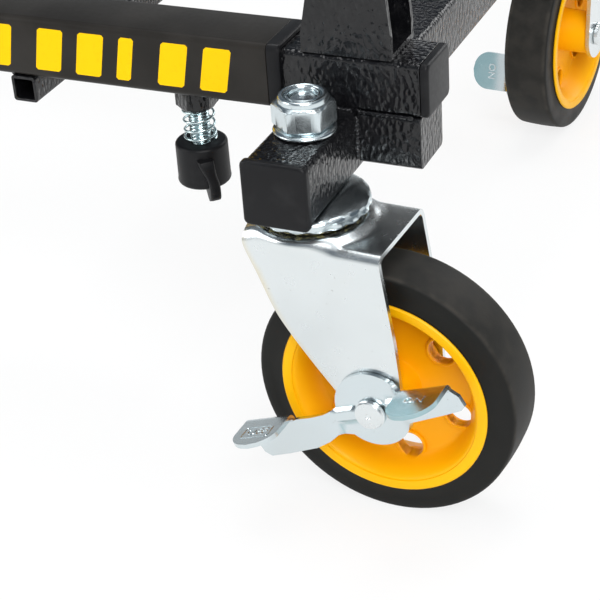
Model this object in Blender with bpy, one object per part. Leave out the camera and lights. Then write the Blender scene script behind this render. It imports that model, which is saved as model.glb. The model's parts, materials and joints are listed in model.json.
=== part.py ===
"""Folding, telescoping equipment cart.

A rear frame of two outer rails rides on two fixed wheels, and a front frame of
two inner rails slides out of it on two braked swivel casters. A U-shaped
handle folds flat at each end, and a spring-loaded wing screw under each outer
rail clamps the slide.

Frame: metres, +X to the casters, +Y to the cart's left, +Z up, floor at Z = 0,
with the origin under the middle of the cart.
"""

import math

import bmesh
import bpy
from mathutils import Matrix, Vector

MM = 0.001
SIDES = {"right": -1, "left": 1}

# Fits
GAP = 0.3 * MM
RUN = 0.4 * MM

# Casters: a 5 inch wheel in a bent steel fork
CASTER_RADIUS = 63.5 * MM
CASTER_TYRE_WIDTH = 28.0 * MM
CASTER_RIM_RADIUS = 50.5 * MM
CASTER_TRAIL = 37.8 * MM
CASTER_YAW = {"right": math.radians(-2.7), "left": math.radians(-94.1)}
CASTER_SPACING = 446 * MM
FORK_WIDTH = 50.6 * MM
FORK_SHEET = 2.5 * MM
FORK_TOP_Z = 142.9 * MM
FORK_FRONT = 43.5 * MM
FORK_BACK = 22 * MM
FORK_FOOT_RADIUS = 16.3 * MM
FORK_FOOT_SHIFT = 1.8 * MM
FORK_BEND = 4 * MM
SEAT_RADIUS = 28.3 * MM
SEAT_HEIGHT = 3.0 * MM
DISH_RADIUS = 28 * MM
DISH_SHEET = 2 * MM
DISH_HEIGHT = 7.2 * MM
KINGPIN_RADIUS = 6.4 * MM
KINGPIN_HEAD_RADIUS = 11 * MM
KINGPIN_HEAD = 5.5 * MM
AXLE_RADIUS = 5 * MM
AXLE_HEAD_RADIUS = 7.3 * MM
AXLE_HEAD = 3 * MM
NUT_ACROSS = 24.5 * MM
NUT_HEIGHT = 17.3 * MM
NUT_FLANGE_RADIUS = 14 * MM
NUT_YAW = math.radians(22)

# Brake lever, in its own frame: U along the lever, V across it
LEVER_SHEET = 2.2 * MM
LEVER_TILT = {"right": math.radians(21), "left": math.radians(-75)}
LEVER_HUB_RADIUS = 18.6 * MM
LEVER_HUB_SHIFT = 1.5 * MM
TONGUE_WIDTH = 24.5 * MM
TONGUE_REACH = 26 * MM
ON_TONGUE_U = -65.4 * MM
ON_TONGUE_V = 5.2 * MM
OFF_TONGUE_U = 20 * MM
OFF_TONGUE_V = 10.8 * MM
RIB_HEIGHT = 1.8 * MM
RIB_HALF_WIDTH = 3.4 * MM
RIB_V = 3.6 * MM

# Tubes
BEAM_SIDE = 29 * MM
BEAM_WALL = 2 * MM
BEAM_CORNER = 2.5 * MM
BEAM_BOTTOM_Z = 156 * MM
BEAM_OVERHANG = 36 * MM
CAP_LIP = 4 * MM
CAP_PLUG = 12 * MM
RAIL_INSET = 36.6 * MM
INNER_RAIL_WIDTH = 28 * MM
INNER_RAIL_HEIGHT = 25 * MM
INNER_RAIL_WALL = 2 * MM
INNER_RAIL_CORNER = 2.5 * MM
INNER_RAIL_NOSE = 44.5 * MM
RAIL_CLEARANCE = 1.1 * MM
OUTER_RAIL_WALL = 1.5 * MM
OUTER_RAIL_CORNER = 3 * MM
OUTER_RAIL_SETBACK = 26 * MM
COLLAR_LIP = 6 * MM
COLLAR_SLEEVE = 14 * MM
COLLAR_SLEEVE_WALL = 0.5 * MM
SLIDE_TRAVEL = 450 * MM
SLIDE_OVERLAP = 240 * MM
RAIL_END_ROOM = 10 * MM
NOSE_BLOCK_HEIGHT = 25 * MM
NOSE_BLOCK_WALL = 2.5 * MM
CROSS_TUBE_SIDE = 13 * MM
CROSS_TUBE_WALL = 1.5 * MM
CROSS_TUBE_CORNER = 1.5 * MM
CROSS_TUBE_SETBACK = 154.7 * MM

# Clamp screws under the outer rails
CLAMP_SETBACK = 71.3 * MM
WELD_NUT_ACROSS = 17.6 * MM
WELD_NUT_HEIGHT = 11.8 * MM
SCREW_RADIUS = 5 * MM
KNOB_TOP_RADIUS = 12.5 * MM
KNOB_BASE_RADIUS = 12.8 * MM
KNOB_HEIGHT = 21.1 * MM
KNOB_DROP = 29.6 * MM
WING_RADIUS = 16.5 * MM
WING_THICKNESS = 5 * MM
WING_TOP = 5 * MM
WING_BELOW = 5.7 * MM
WING_YAW = math.radians(-47)
SPRING_WIRE = 1.4 * MM
SPRING_TOP_RADIUS = 7.2 * MM
SPRING_BASE_RADIUS = 7.4 * MM
SPRING_TURNS = 3.75
SPRING_POINTS = 8

# Rear wheels and axle
REAR_RADIUS = 101.5 * MM
REAR_TYRE_WIDTH = 50 * MM
REAR_RIM_RADIUS = 74 * MM
REAR_HUB_HALF = 30 * MM
REAR_AXLE_RADIUS = 8 * MM
REAR_AXLE_INSET = 86 * MM
AXLE_TUBE_SIDE = 25 * MM
AXLE_PLATE = 5 * MM
AXLE_PLATE_TOP = 76 * MM
AXLE_PLATE_FOOT = 19 * MM
AXLE_CAP_RADIUS = 13 * MM
AXLE_CAP_LENGTH = 10 * MM

# Handles and their brackets
HANDLE_RADIUS = 11 * MM
HANDLE_WALL = 1.6 * MM
HANDLE_HEIGHT = 590 * MM
HANDLE_BEND = 70 * MM
HANDLE_FOOT = 8.5 * MM
HANDLE_LEAN = math.radians(6)
HANDLE_INSET = 24 * MM
FRONT_PIVOT_X = 11 * MM
BRACKET_SHEET = 2.5 * MM
BRACKET_HALF_LENGTH = 21 * MM
BRACKET_STOP_LOW = 8 * MM
BRACKET_STOP_HIGH = 20 * MM
PIVOT_SCREW_RADIUS = 4 * MM
PIVOT_BOSS_RADIUS = 7 * MM
PIVOT_BOSS_LENGTH = 5 * MM
HANDLE_KNOB_SCALE = 0.78

# Facets round a circle, by size
FACETS = {"screw": 12, "knob": 16, "dish": 24, "wheel": 24, "handle": 12, "hole": 8}

# Heights that follow
BEAM_TOP_Z = BEAM_BOTTOM_Z + BEAM_SIDE
INNER_BOTTOM_Z = BEAM_TOP_Z + GAP
INNER_TOP_Z = INNER_BOTTOM_Z + INNER_RAIL_HEIGHT
RAIL_OFFSET = RAIL_CLEARANCE + OUTER_RAIL_WALL
OUTER_BOTTOM_Z = INNER_BOTTOM_Z - RAIL_OFFSET
OUTER_TOP_Z = INNER_TOP_Z + RAIL_OFFSET
FOOT_SWEEP = math.hypot(HANDLE_RADIUS, HANDLE_FOOT)
REAR_PIVOT_Z = OUTER_TOP_Z + GAP + BRACKET_SHEET + FOOT_SWEEP + RUN
FOLDED_GAP = 1.5 * MM
FRONT_PIVOT_Z = REAR_PIVOT_Z + 2 * HANDLE_RADIUS + FOLDED_GAP

# Places along X and Y that follow
OUTER_RAIL_LENGTH = SLIDE_TRAVEL + SLIDE_OVERLAP + RAIL_END_ROOM
REAR_PIVOT_SETBACK = OUTER_RAIL_SETBACK + OUTER_RAIL_LENGTH - HANDLE_INSET
REAR_REACH = (REAR_PIVOT_SETBACK + HANDLE_HEIGHT * math.sin(HANDLE_LEAN)
              + HANDLE_RADIUS)
FRONT_REACH = CASTER_TRAIL + CASTER_RADIUS
STEM_X = (REAR_REACH - FRONT_REACH) / 2
STEM_Y = CASTER_SPACING / 2
RAIL_Y = STEM_Y - RAIL_INSET
OUTER_RAIL_WIDTH = INNER_RAIL_WIDTH + 2 * RAIL_OFFSET
OUTER_RAIL_HEIGHT = INNER_RAIL_HEIGHT + 2 * RAIL_OFFSET
OUTER_FACE_Y = RAIL_Y + OUTER_RAIL_WIDTH / 2
RAIL_FRONT_X = STEM_X - OUTER_RAIL_SETBACK
RAIL_REAR_X = RAIL_FRONT_X - OUTER_RAIL_LENGTH
INNER_REAR_X = RAIL_REAR_X + RAIL_END_ROOM
CLAMP_X = STEM_X - CLAMP_SETBACK
REAR_AXLE_X = RAIL_REAR_X + REAR_AXLE_INSET
REAR_WHEEL_Y = OUTER_FACE_Y + RUN + REAR_HUB_HALF

BLACK_HAMMERED = ("hammered_black", (0.018, 0.019, 0.021), 0.28, 0.3)
BLACK_SATIN = ("satin_black", (0.030, 0.028, 0.027), 0.42, 0.2)
BLACK_PLASTIC = ("black_plastic", (0.024, 0.024, 0.025), 0.5, 0.0)
ZINC = ("zinc_plate", (0.72, 0.76, 0.78), 0.25, 1.0)
RUBBER = ("tyre_rubber", (0.022, 0.022, 0.022), 0.7, 0.0)
YELLOW = ("yellow_plastic", (0.93, 0.50, 0.004), 0.35, 0.0)


def clear_scene():
    """Remove what the file holds."""
    for obj in list(bpy.data.objects):
        bpy.data.objects.remove(obj, do_unlink=True)


def material(spec):
    """Return the material of a (name, colour, roughness, metallic) spec."""
    name, colour, roughness, metallic = spec
    mat = bpy.data.materials.get(name)
    if mat is None:
        mat = bpy.data.materials.new(name)
        mat.use_nodes = True
        shader = mat.node_tree.nodes["Principled BSDF"]
        shader.inputs["Base Color"].default_value = (*colour, 1.0)
        shader.inputs["Roughness"].default_value = roughness
        shader.inputs["Metallic"].default_value = metallic
    return mat


def empty(name, location, parent=None, rotation=(0.0, 0.0, 0.0)):
    """Return an empty that carries a moving group on its joint's axis."""
    obj = bpy.data.objects.new(name, None)
    bpy.context.collection.objects.link(obj)
    obj.location = location
    obj.rotation_euler = rotation
    obj.parent = parent
    return obj


def add_object(name, bm, spec, parent=None, smooth=True):
    """Link a mesh as a named piece, with its faces pointing out."""
    bmesh.ops.recalc_face_normals(bm, faces=bm.faces)
    mesh = bpy.data.meshes.new(name)
    bm.to_mesh(mesh)
    bm.free()
    if smooth:
        mesh.shade_smooth()
        mesh.set_sharp_from_angle(angle=math.radians(35))
    obj = bpy.data.objects.new(name, mesh)
    obj.data.materials.append(material(spec))
    obj.parent = parent
    bpy.context.collection.objects.link(obj)
    return obj


def combine(target, bm, operation, what):
    """Join, cut or intersect a piece with a hidden shape in its own frame."""
    helper = add_object(f"{target.name}_{what}", bm, BLACK_SATIN, parent=target, smooth=False)
    helper.hide_render = True
    helper.display_type = "WIRE"
    modifier = target.modifiers.new(what, "BOOLEAN")
    modifier.operation = operation
    modifier.object = helper
    return helper


def skin(rings, cyclic):
    """Return a mesh through rings of equal count, closed on itself or capped."""
    bm = bmesh.new()
    loops = [[bm.verts.new(point) for point in ring] for ring in rings]
    count = len(loops[0])
    pairs = list(zip(loops, loops[1:]))
    if cyclic:
        pairs.append((loops[-1], loops[0]))
    for first, second in pairs:
        for i in range(count):
            j = (i + 1) % count
            bm.faces.new((first[i], first[j], second[j], second[i]))
    if not cyclic:
        bm.faces.new(loops[0])
        bm.faces.new(loops[-1])
    return bm


def rounded_rectangle(width, height, radius, steps=2):
    """Return a rectangle's outline about its centre, with round corners."""
    points = []
    corners = ((1, 1, 0), (-1, 1, 90), (-1, -1, 180), (1, -1, 270))
    for sign_a, sign_b, start in corners:
        centre_a = sign_a * (width / 2 - radius)
        centre_b = sign_b * (height / 2 - radius)
        for i in range(steps + 1):
            angle = math.radians(start + 90 * i / steps)
            points.append((centre_a + radius * math.cos(angle),
                           centre_b + radius * math.sin(angle)))
    return points


def section(along, outline, centre=(0.0, 0.0)):
    """Return a ring square to X, at the given place along X."""
    return [Vector((along, centre[0] + a, centre[1] + b)) for a, b in outline]


def polar_ring(radius, z, count, across=None):
    """Return a round ring square to Z, cut to a hexagon if across is given."""
    points = []
    for i in range(count):
        angle = 2 * math.pi * i / count
        reach = radius
        if across is not None:
            turn = (angle + math.pi / 6) % (math.pi / 3) - math.pi / 6
            reach = min(radius, across / 2 / math.cos(turn))
        points.append(Vector((reach * math.cos(angle), reach * math.sin(angle), z)))
    return points


def turned(profile, count, cyclic):
    """Return the mesh turned about Z from a profile of (radius, z) points."""
    return skin([polar_ring(r, z, count) for r, z in profile], cyclic)


def lay_along_y(bm, sign=1):
    """Turn a mesh made about Z so that its +Z runs along Y, towards sign."""
    bmesh.ops.rotate(bm, verts=bm.verts, cent=(0, 0, 0),
                     matrix=Matrix.Rotation(-sign * math.pi / 2, 3, "X"))
    return bm


def rod(radius, length, count, centre=(0, 0, 0), axis="Z"):
    """Return a plain rod, for a shaft or a bore's cutter."""
    bm = turned([(radius, -length / 2), (radius, length / 2)], count, False)
    if axis == "Y":
        lay_along_y(bm)
    bmesh.ops.translate(bm, verts=bm.verts, vec=centre)
    return bm


def plate(outline, low, high, flat="XZ"):
    """Return a plate from an outline in the XZ or XY plane, from low to high."""
    if flat == "XZ":
        rings = [[Vector((a, level, b)) for a, b in outline] for level in (low, high)]
    else:
        rings = [[Vector((a, b, level)) for a, b in outline] for level in (low, high)]
    return skin(rings, False)


def block(low, high):
    """Return a box between two corners."""
    outline = [(low[0], low[1]), (high[0], low[1]), (high[0], high[1]), (low[0], high[1])]
    return plate(outline, low[2], high[2], flat="XY")


def arc(centre, radius, start, end, steps):
    """Return points along an arc, with angles in degrees."""
    angles = [math.radians(start + (end - start) * i / steps) for i in range(steps + 1)]
    return [(centre[0] + radius * math.cos(a), centre[1] + radius * math.sin(a)) for a in angles]


def square_tube(name, spec, start, end, centre, outer, inner):
    """Return an open tube along X with rounded corners."""
    rings = [section(start, outer, centre), section(end, outer, centre),
             section(end, inner, centre), section(start, inner, centre)]
    return add_object(name, skin(rings, True), spec)


def tube_cap(name, spec, size, wall, corner, lip, plug):
    """Return a push-in end cap: its lip faces +X and its plug goes back."""
    width, height = size
    lip_outline = rounded_rectangle(width, height, corner)
    soft = rounded_rectangle(width - lip * 0.5, height - lip * 0.5, corner)
    inner = 2 * (wall + GAP)
    plug_outline = rounded_rectangle(width - inner, height - inner, corner / 2)
    rings = [section(-plug, plug_outline), section(GAP, plug_outline),
             section(GAP, lip_outline), section(lip * 0.65, lip_outline), section(lip, soft)]
    return add_object(name, skin(rings, False), spec)


def wheel_pieces(prefix, parent, radius, width, rim_radius, hub_half, bore):
    """Add a wheel's tyre and rim, turned about Y round the parent's centre."""
    half = width / 2
    drum = rim_radius - 2.5 * MM
    crown = 1 * MM
    profile = [(drum + GAP, -half), (radius - crown * 1.5, -half),
               (radius - crown * 0.6, -half + crown), (radius, -half * 0.4)]
    tyre = profile + [(r, -z) for r, z in reversed(profile)]
    add_object(f"{prefix}_tyre", lay_along_y(turned(tyre, FACETS["wheel"], True)), RUBBER, parent)

    face = half + 1.8 * MM
    flange = half + GAP
    ring_inner = rim_radius * 0.9
    web_outer = rim_radius * 0.8
    hub_radius = bore * 2.6
    web = half * 0.25
    side = [(drum, flange), (rim_radius, flange), (rim_radius, face), (ring_inner, face),
            (web_outer, web), (hub_radius, web), (hub_radius, hub_half), (bore, hub_half)]
    rim = side + [(r, -z) for r, z in reversed(side)]
    body = add_object(f"{prefix}_rim", lay_along_y(turned(rim, FACETS["wheel"], True)), YELLOW, parent)
    pitch = web_outer * 0.8
    hole = rim_radius * 0.125
    cutters = bmesh.new()
    for i in range(6):
        angle = math.radians(45 + 60 * i)
        part = rod(hole, width * 2, FACETS["hole"],
                   (pitch * math.cos(angle), 0, pitch * math.sin(angle)), "Y")
        mesh = bpy.data.meshes.new("hole")
        part.to_mesh(mesh)
        part.free()
        cutters.from_mesh(mesh)
        bpy.data.meshes.remove(mesh)
    combine(body, cutters, "DIFFERENCE", "holes")


def build_outer_rails():
    """Add the lettered outer rails, their front collars and rear caps."""
    outer = rounded_rectangle(OUTER_RAIL_WIDTH, OUTER_RAIL_HEIGHT, OUTER_RAIL_CORNER)
    bore_width = OUTER_RAIL_WIDTH - 2 * OUTER_RAIL_WALL
    bore_height = OUTER_RAIL_HEIGHT - 2 * OUTER_RAIL_WALL
    inner = rounded_rectangle(bore_width, bore_height, OUTER_RAIL_CORNER - OUTER_RAIL_WALL)
    centre_z = (OUTER_BOTTOM_Z + OUTER_TOP_Z) / 2
    guide = [size + 2 * GAP for size in (INNER_RAIL_WIDTH, INNER_RAIL_HEIGHT)]
    guide_bore = rounded_rectangle(*guide, INNER_RAIL_CORNER)
    sleeve_size = [size + 2 * COLLAR_SLEEVE_WALL for size in guide]
    sleeve = rounded_rectangle(*sleeve_size, INNER_RAIL_CORNER)
    for side, sign in SIDES.items():
        centre = (sign * RAIL_Y, centre_z)
        rail = square_tube(f"outer_rail_{side}", BLACK_SATIN, RAIL_REAR_X, RAIL_FRONT_X,
                           centre, outer, inner)
        bore = rod(SCREW_RADIUS + GAP, 4 * RAIL_OFFSET, FACETS["screw"],
                   (CLAMP_X, sign * RAIL_Y, OUTER_BOTTOM_Z))
        combine(rail, bore, "DIFFERENCE", "screw_hole")
        lip = RAIL_FRONT_X + GAP
        rings = [section(lip + COLLAR_LIP, guide_bore, centre), section(lip + COLLAR_LIP, outer, centre),
                 section(lip, outer, centre), section(lip, sleeve, centre),
                 section(lip - COLLAR_SLEEVE, sleeve, centre),
                 section(lip - COLLAR_SLEEVE, guide_bore, centre)]
        add_object(f"rail_collar_{side}", skin(rings, True), BLACK_PLASTIC)
        cap = tube_cap(f"rail_end_cap_{side}", BLACK_PLASTIC, (OUTER_RAIL_WIDTH, OUTER_RAIL_HEIGHT),
                       OUTER_RAIL_WALL, OUTER_RAIL_CORNER, CAP_LIP, CAP_PLUG / 2)
        cap.location = (RAIL_REAR_X, centre[0], centre[1])
        cap.rotation_euler = (0, 0, math.pi)


def build_cross_tube():
    """Add the open square tube that ties the outer rails together below."""
    side = CROSS_TUBE_SIDE
    outer = rounded_rectangle(side, side, CROSS_TUBE_CORNER)
    bore = side - 2 * CROSS_TUBE_WALL
    inner = rounded_rectangle(bore, bore, CROSS_TUBE_CORNER / 3)
    tube = square_tube("cross_tube", BLACK_HAMMERED, -OUTER_FACE_Y, OUTER_FACE_Y,
                       (0.0, 0.0), outer, inner)
    tube.location = (STEM_X - CROSS_TUBE_SETBACK, 0, OUTER_BOTTOM_Z - GAP - side / 2)
    tube.rotation_euler = (0, 0, math.pi / 2)


def wing_knob(name, spec, parent):
    """Add a wing knob hanging down -Z from the parent's centre."""
    top, base, height = KNOB_TOP_RADIUS, KNOB_BASE_RADIUS, KNOB_HEIGHT
    edge = 1.2 * MM
    profile = [(SCREW_RADIUS + GAP, -height * 0.7), (SCREW_RADIUS + GAP, 0.0),
               (top - edge, 0.0), (top, -edge), (base, -height + edge), (base - edge, -height)]
    knob = add_object(name, turned(profile, FACETS["knob"], False), spec, parent)
    half = WING_THICKNESS / 2
    reach = WING_RADIUS
    inside = top * 0.55
    low = height + WING_BELOW
    outline = [(inside, -WING_TOP), (reach - 1.5 * MM, -WING_TOP),
               (reach, -WING_TOP - 2 * MM), (reach - 1 * MM, -low + 1.5 * MM),
               (reach - 3 * MM, -low), (inside + 2 * MM, -low), (inside, -height - 1 * MM)]
    for i, sign in enumerate((1, -1)):
        wing = plate([(sign * a, b) for a, b in outline], -half, half)
        bmesh.ops.rotate(wing, verts=wing.verts, cent=(0, 0, 0),
                         matrix=Matrix.Rotation(WING_YAW, 3, "Z"))
        combine(knob, wing, "UNION", f"wing_{i}")
    return knob


def spring_points(top, height):
    """Return a spring's centre line down from top, closer wound at its foot."""
    rise = height - SPRING_WIRE
    close = 2.2 * MM
    open_pitch = (rise - close) / (SPRING_TURNS - 1)
    points = []
    for i in range(int(SPRING_TURNS * SPRING_POINTS) + 1):
        turn = i / SPRING_POINTS
        angle = 2 * math.pi * turn
        blend = min(1.0, max(0.0, turn - 0.5))
        radius = SPRING_BASE_RADIUS + (SPRING_TOP_RADIUS - SPRING_BASE_RADIUS) * blend
        climb = close * min(turn, 1.0) + open_pitch * max(0.0, turn - 1.0)
        points.append(Vector((radius * math.cos(angle), radius * math.sin(angle),
                              top - height + SPRING_WIRE / 2 + climb)))
    return points


def self_gap(points, wire):
    """Return the least clear gap between turns of a wire's centre line."""
    nearest = min((a - b).length for i, a in enumerate(points)
                  for b in points[i + SPRING_POINTS // 2:])
    return nearest - wire


def wire_object(name, points, wire, spec, parent):
    """Add one unbroken wire along the points."""
    curve = bpy.data.curves.new(name, "CURVE")
    curve.dimensions = "3D"
    curve.bevel_depth = wire / 2
    curve.bevel_resolution = 1
    curve.use_fill_caps = True
    spline = curve.splines.new("POLY")
    spline.points.add(len(points) - 1)
    for place, point in zip(spline.points, points):
        place.co = (*point, 1.0)
    obj = bpy.data.objects.new(name, curve)
    obj.data.materials.append(material(spec))
    obj.parent = parent
    bpy.context.collection.objects.link(obj)
    return obj


def build_rail_clamps():
    """Add the weld nuts, screws, springs and wing knobs under the rails."""
    for side, sign in SIDES.items():
        nut_top = OUTER_BOTTOM_Z - GAP
        nut_base = nut_top - WELD_NUT_HEIGHT
        bore = SCREW_RADIUS + GAP
        wide = WELD_NUT_ACROSS
        corner = wide / 2 / math.cos(math.pi / 6)
        levels = ((bore, nut_base), (wide * 0.52, nut_base), (corner, nut_base + 1 * MM),
                  (corner, nut_top), (bore, nut_top))
        rings = [polar_ring(radius, z, FACETS["screw"], wide if radius > bore else None)
                 for radius, z in levels]
        nut = add_object(f"weld_nut_{side}", skin(rings, True), BLACK_HAMMERED, smooth=False)
        nut.location = (CLAMP_X, sign * RAIL_Y, 0)
        knob_top = OUTER_BOTTOM_Z - KNOB_DROP
        pivot = empty(f"rail_clamp_{side}", (CLAMP_X, sign * RAIL_Y, knob_top))
        wing_knob(f"clamp_knob_{side}", BLACK_PLASTIC, pivot)
        tip = INNER_BOTTOM_Z - GAP - knob_top
        foot = -KNOB_HEIGHT * 0.7 + GAP
        screw = turned([(SCREW_RADIUS, foot), (SCREW_RADIUS, tip - 1 * MM),
                        (SCREW_RADIUS - 1 * MM, tip)], FACETS["screw"], False)
        add_object(f"clamp_screw_{side}", screw, ZINC, pivot)
        height = nut_base - knob_top - 2 * GAP
        points = spring_points(height + GAP, height)
        wire_object(f"clamp_spring_{side}", points, SPRING_WIRE, ZINC, pivot)
        print(f"clamp_spring_{side}: least gap to itself {self_gap(points, SPRING_WIRE) / MM:.2f} mm")


def build_rear_axle():
    """Add the drop plates, the axle, its tube and caps, and the rear wheels."""
    plate_top = OUTER_BOTTOM_Z - GAP
    foot = arc((0, REAR_RADIUS), AXLE_PLATE_FOOT, 200, 340, 10)
    half = AXLE_PLATE_TOP / 2
    outline = [(half, plate_top), (-half, plate_top)] + foot
    for side, sign in SIDES.items():
        outer_y = sign * OUTER_FACE_Y
        drop = add_object(f"axle_plate_{side}",
                          plate(outline, outer_y - sign * AXLE_PLATE, outer_y), BLACK_HAMMERED)
        drop.location.x = REAR_AXLE_X
        hole = rod(REAR_AXLE_RADIUS + GAP, 4 * AXLE_PLATE, FACETS["knob"],
                   (0, outer_y, REAR_RADIUS), "Y")
        combine(drop, hole, "DIFFERENCE", "axle_hole")
        spin = empty(f"rear_wheel_{side}", (REAR_AXLE_X, sign * REAR_WHEEL_Y, REAR_RADIUS))
        wheel_pieces(f"rear_{side}", spin, REAR_RADIUS, REAR_TYRE_WIDTH, REAR_RIM_RADIUS,
                     REAR_HUB_HALF, REAR_AXLE_RADIUS + GAP)
        cap_start = REAR_WHEEL_Y + REAR_HUB_HALF + RUN
        depth = AXLE_CAP_LENGTH * 0.75
        profile = [(REAR_AXLE_RADIUS + GAP, depth), (REAR_AXLE_RADIUS + GAP, 0),
                   (AXLE_CAP_RADIUS, 0), (AXLE_CAP_RADIUS, AXLE_CAP_LENGTH * 0.6),
                   (AXLE_CAP_RADIUS * 0.6, AXLE_CAP_LENGTH)]
        cap = add_object(f"axle_cap_{side}", lay_along_y(turned(profile, FACETS["knob"], False), sign), ZINC)
        cap.location = (REAR_AXLE_X, sign * cap_start, REAR_RADIUS)
    axle_end = REAR_WHEEL_Y + REAR_HUB_HALF + RUN + AXLE_CAP_LENGTH * 0.75 - GAP
    axle = add_object("rear_axle", rod(REAR_AXLE_RADIUS, 2 * axle_end, FACETS["knob"], axis="Y"), ZINC)
    axle.location = (REAR_AXLE_X, 0, REAR_RADIUS)
    side = AXLE_TUBE_SIDE
    outer = rounded_rectangle(side, side, BEAM_CORNER)
    bore = side - 2 * BEAM_WALL
    inner = rounded_rectangle(bore, bore, BEAM_CORNER / 3)
    end = OUTER_FACE_Y - AXLE_PLATE - GAP
    tube = square_tube("axle_tube", BLACK_HAMMERED, -end, end, (0.0, 0.0), outer, inner)
    tube.location = (REAR_AXLE_X, 0, REAR_RADIUS)
    tube.rotation_euler = (0, 0, math.pi / 2)


def build_front_frame():
    """Add the inner rails, the caster beam, the nose blocks and their caps."""
    outer = rounded_rectangle(INNER_RAIL_WIDTH, INNER_RAIL_HEIGHT, INNER_RAIL_CORNER)
    wall = 2 * INNER_RAIL_WALL
    inner = rounded_rectangle(INNER_RAIL_WIDTH - wall, INNER_RAIL_HEIGHT - wall,
                              INNER_RAIL_CORNER / 3)
    centre_z = (INNER_BOTTOM_Z + INNER_TOP_Z) / 2
    nose_x = STEM_X + INNER_RAIL_NOSE
    block_back = STEM_X + BEAM_SIDE / 2 + GAP
    block_outline = rounded_rectangle(INNER_RAIL_WIDTH, NOSE_BLOCK_HEIGHT, INNER_RAIL_CORNER)
    hollow = 2 * NOSE_BLOCK_WALL
    block_hollow = rounded_rectangle(INNER_RAIL_WIDTH - hollow, NOSE_BLOCK_HEIGHT - hollow,
                                     INNER_RAIL_CORNER / 3)
    for side, sign in SIDES.items():
        centre = (sign * RAIL_Y, centre_z)
        square_tube(f"inner_rail_{side}", BLACK_HAMMERED, INNER_REAR_X, nose_x,
                    centre, outer, inner)
        cap = tube_cap(f"nose_cap_{side}", BLACK_PLASTIC, (INNER_RAIL_WIDTH, INNER_RAIL_HEIGHT),
                       INNER_RAIL_WALL, INNER_RAIL_CORNER, CAP_LIP, CAP_PLUG)
        cap.location = (nose_x, centre[0], centre[1])
        low = (sign * RAIL_Y, BEAM_TOP_Z - NOSE_BLOCK_HEIGHT / 2)
        rings = [section(nose_x - NOSE_BLOCK_WALL, block_hollow, low),
                 section(block_back, block_hollow, low), section(block_back, block_outline, low),
                 section(nose_x, block_outline, low)]
        add_object(f"nose_block_{side}", skin(rings, False), BLACK_HAMMERED)


def build_beam():
    """Add the beam that carries the casters, bored for their kingpins."""
    outer = rounded_rectangle(BEAM_SIDE, BEAM_SIDE, BEAM_CORNER)
    bore = BEAM_SIDE - 2 * BEAM_WALL
    inner = rounded_rectangle(bore, bore, BEAM_CORNER / 3)
    end = STEM_Y + BEAM_OVERHANG - CAP_LIP
    beam = square_tube("caster_beam", BLACK_HAMMERED, -end, end, (0.0, 0.0), outer, inner)
    beam.location = (STEM_X, 0, BEAM_BOTTOM_Z + BEAM_SIDE / 2)
    beam.rotation_euler = (0, 0, math.pi / 2)
    for side, sign in SIDES.items():
        hole = rod(KINGPIN_RADIUS + GAP, 2 * BEAM_SIDE, FACETS["screw"], (sign * STEM_Y, 0, 0))
        combine(beam, hole, "DIFFERENCE", f"stem_hole_{side}")
        cap = tube_cap(f"beam_cap_{side}", BLACK_PLASTIC, (BEAM_SIDE, BEAM_SIDE),
                       BEAM_WALL, BEAM_CORNER, CAP_LIP, CAP_PLUG)
        cap.location = (STEM_X, sign * end, BEAM_BOTTOM_Z + BEAM_SIDE / 2)
        cap.rotation_euler = (0, 0, sign * math.pi / 2)


def build_stem(side, sign):
    """Add a caster's kingpin, top nut and bearing dish on the beam."""
    place = (STEM_X, sign * STEM_Y, 0)
    plate_bottom = FORK_TOP_Z - FORK_SHEET
    nut_base = BEAM_TOP_Z + GAP
    nut_top = nut_base + NUT_HEIGHT
    pin = [(KINGPIN_HEAD_RADIUS * 0.8, plate_bottom - GAP - KINGPIN_HEAD),
           (KINGPIN_HEAD_RADIUS, plate_bottom - GAP - KINGPIN_HEAD * 0.6),
           (KINGPIN_HEAD_RADIUS, plate_bottom - GAP), (KINGPIN_RADIUS, plate_bottom - GAP),
           (KINGPIN_RADIUS, nut_top - 2.5 * MM), (KINGPIN_RADIUS - 1 * MM, nut_top - 1.5 * MM)]
    kingpin = add_object(f"kingpin_{side}", turned(pin, FACETS["screw"], False), ZINC)
    kingpin.location = place

    bore = KINGPIN_RADIUS + GAP
    wide = NUT_ACROSS
    corner = wide / 2 / math.cos(math.pi / 6)
    flange = 3 * MM
    collar = 4 * MM
    hexagon = [(corner, flange), (corner, NUT_HEIGHT - collar - 1 * MM)]
    levels = [(bore, 0), (NUT_FLANGE_RADIUS, 0), (NUT_FLANGE_RADIUS, flange * 0.6)] + hexagon
    levels += [(wide / 2, NUT_HEIGHT - collar), (wide * 0.475, NUT_HEIGHT - 1 * MM),
               (wide * 0.42, NUT_HEIGHT), (bore, NUT_HEIGHT - 1 * MM)]
    rings = [polar_ring(radius, z, FACETS["screw"], wide if (radius, z) in hexagon else None)
             for radius, z in levels]
    nut = add_object(f"stem_nut_{side}", skin(rings, True), ZINC, smooth=False)
    nut.location = (place[0], place[1], nut_base)
    nut.rotation_euler = (0, 0, NUT_YAW)

    top = BEAM_BOTTOM_Z - GAP
    low = top - DISH_HEIGHT
    sheet = DISH_SHEET
    profile = [(bore, top), (DISH_RADIUS * 0.52, top), (DISH_RADIUS * 0.9, top - 1.7 * MM),
               (DISH_RADIUS, top - 4 * MM), (DISH_RADIUS, low), (DISH_RADIUS - sheet, low),
               (DISH_RADIUS - sheet, top - 4.6 * MM), (DISH_RADIUS * 0.84, top - 1.7 * MM - sheet),
               (DISH_RADIUS * 0.5, top - sheet), (bore, top - sheet)]
    dish = add_object(f"bearing_dish_{side}", turned(profile, FACETS["dish"], True), ZINC)
    dish.location = place


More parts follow.
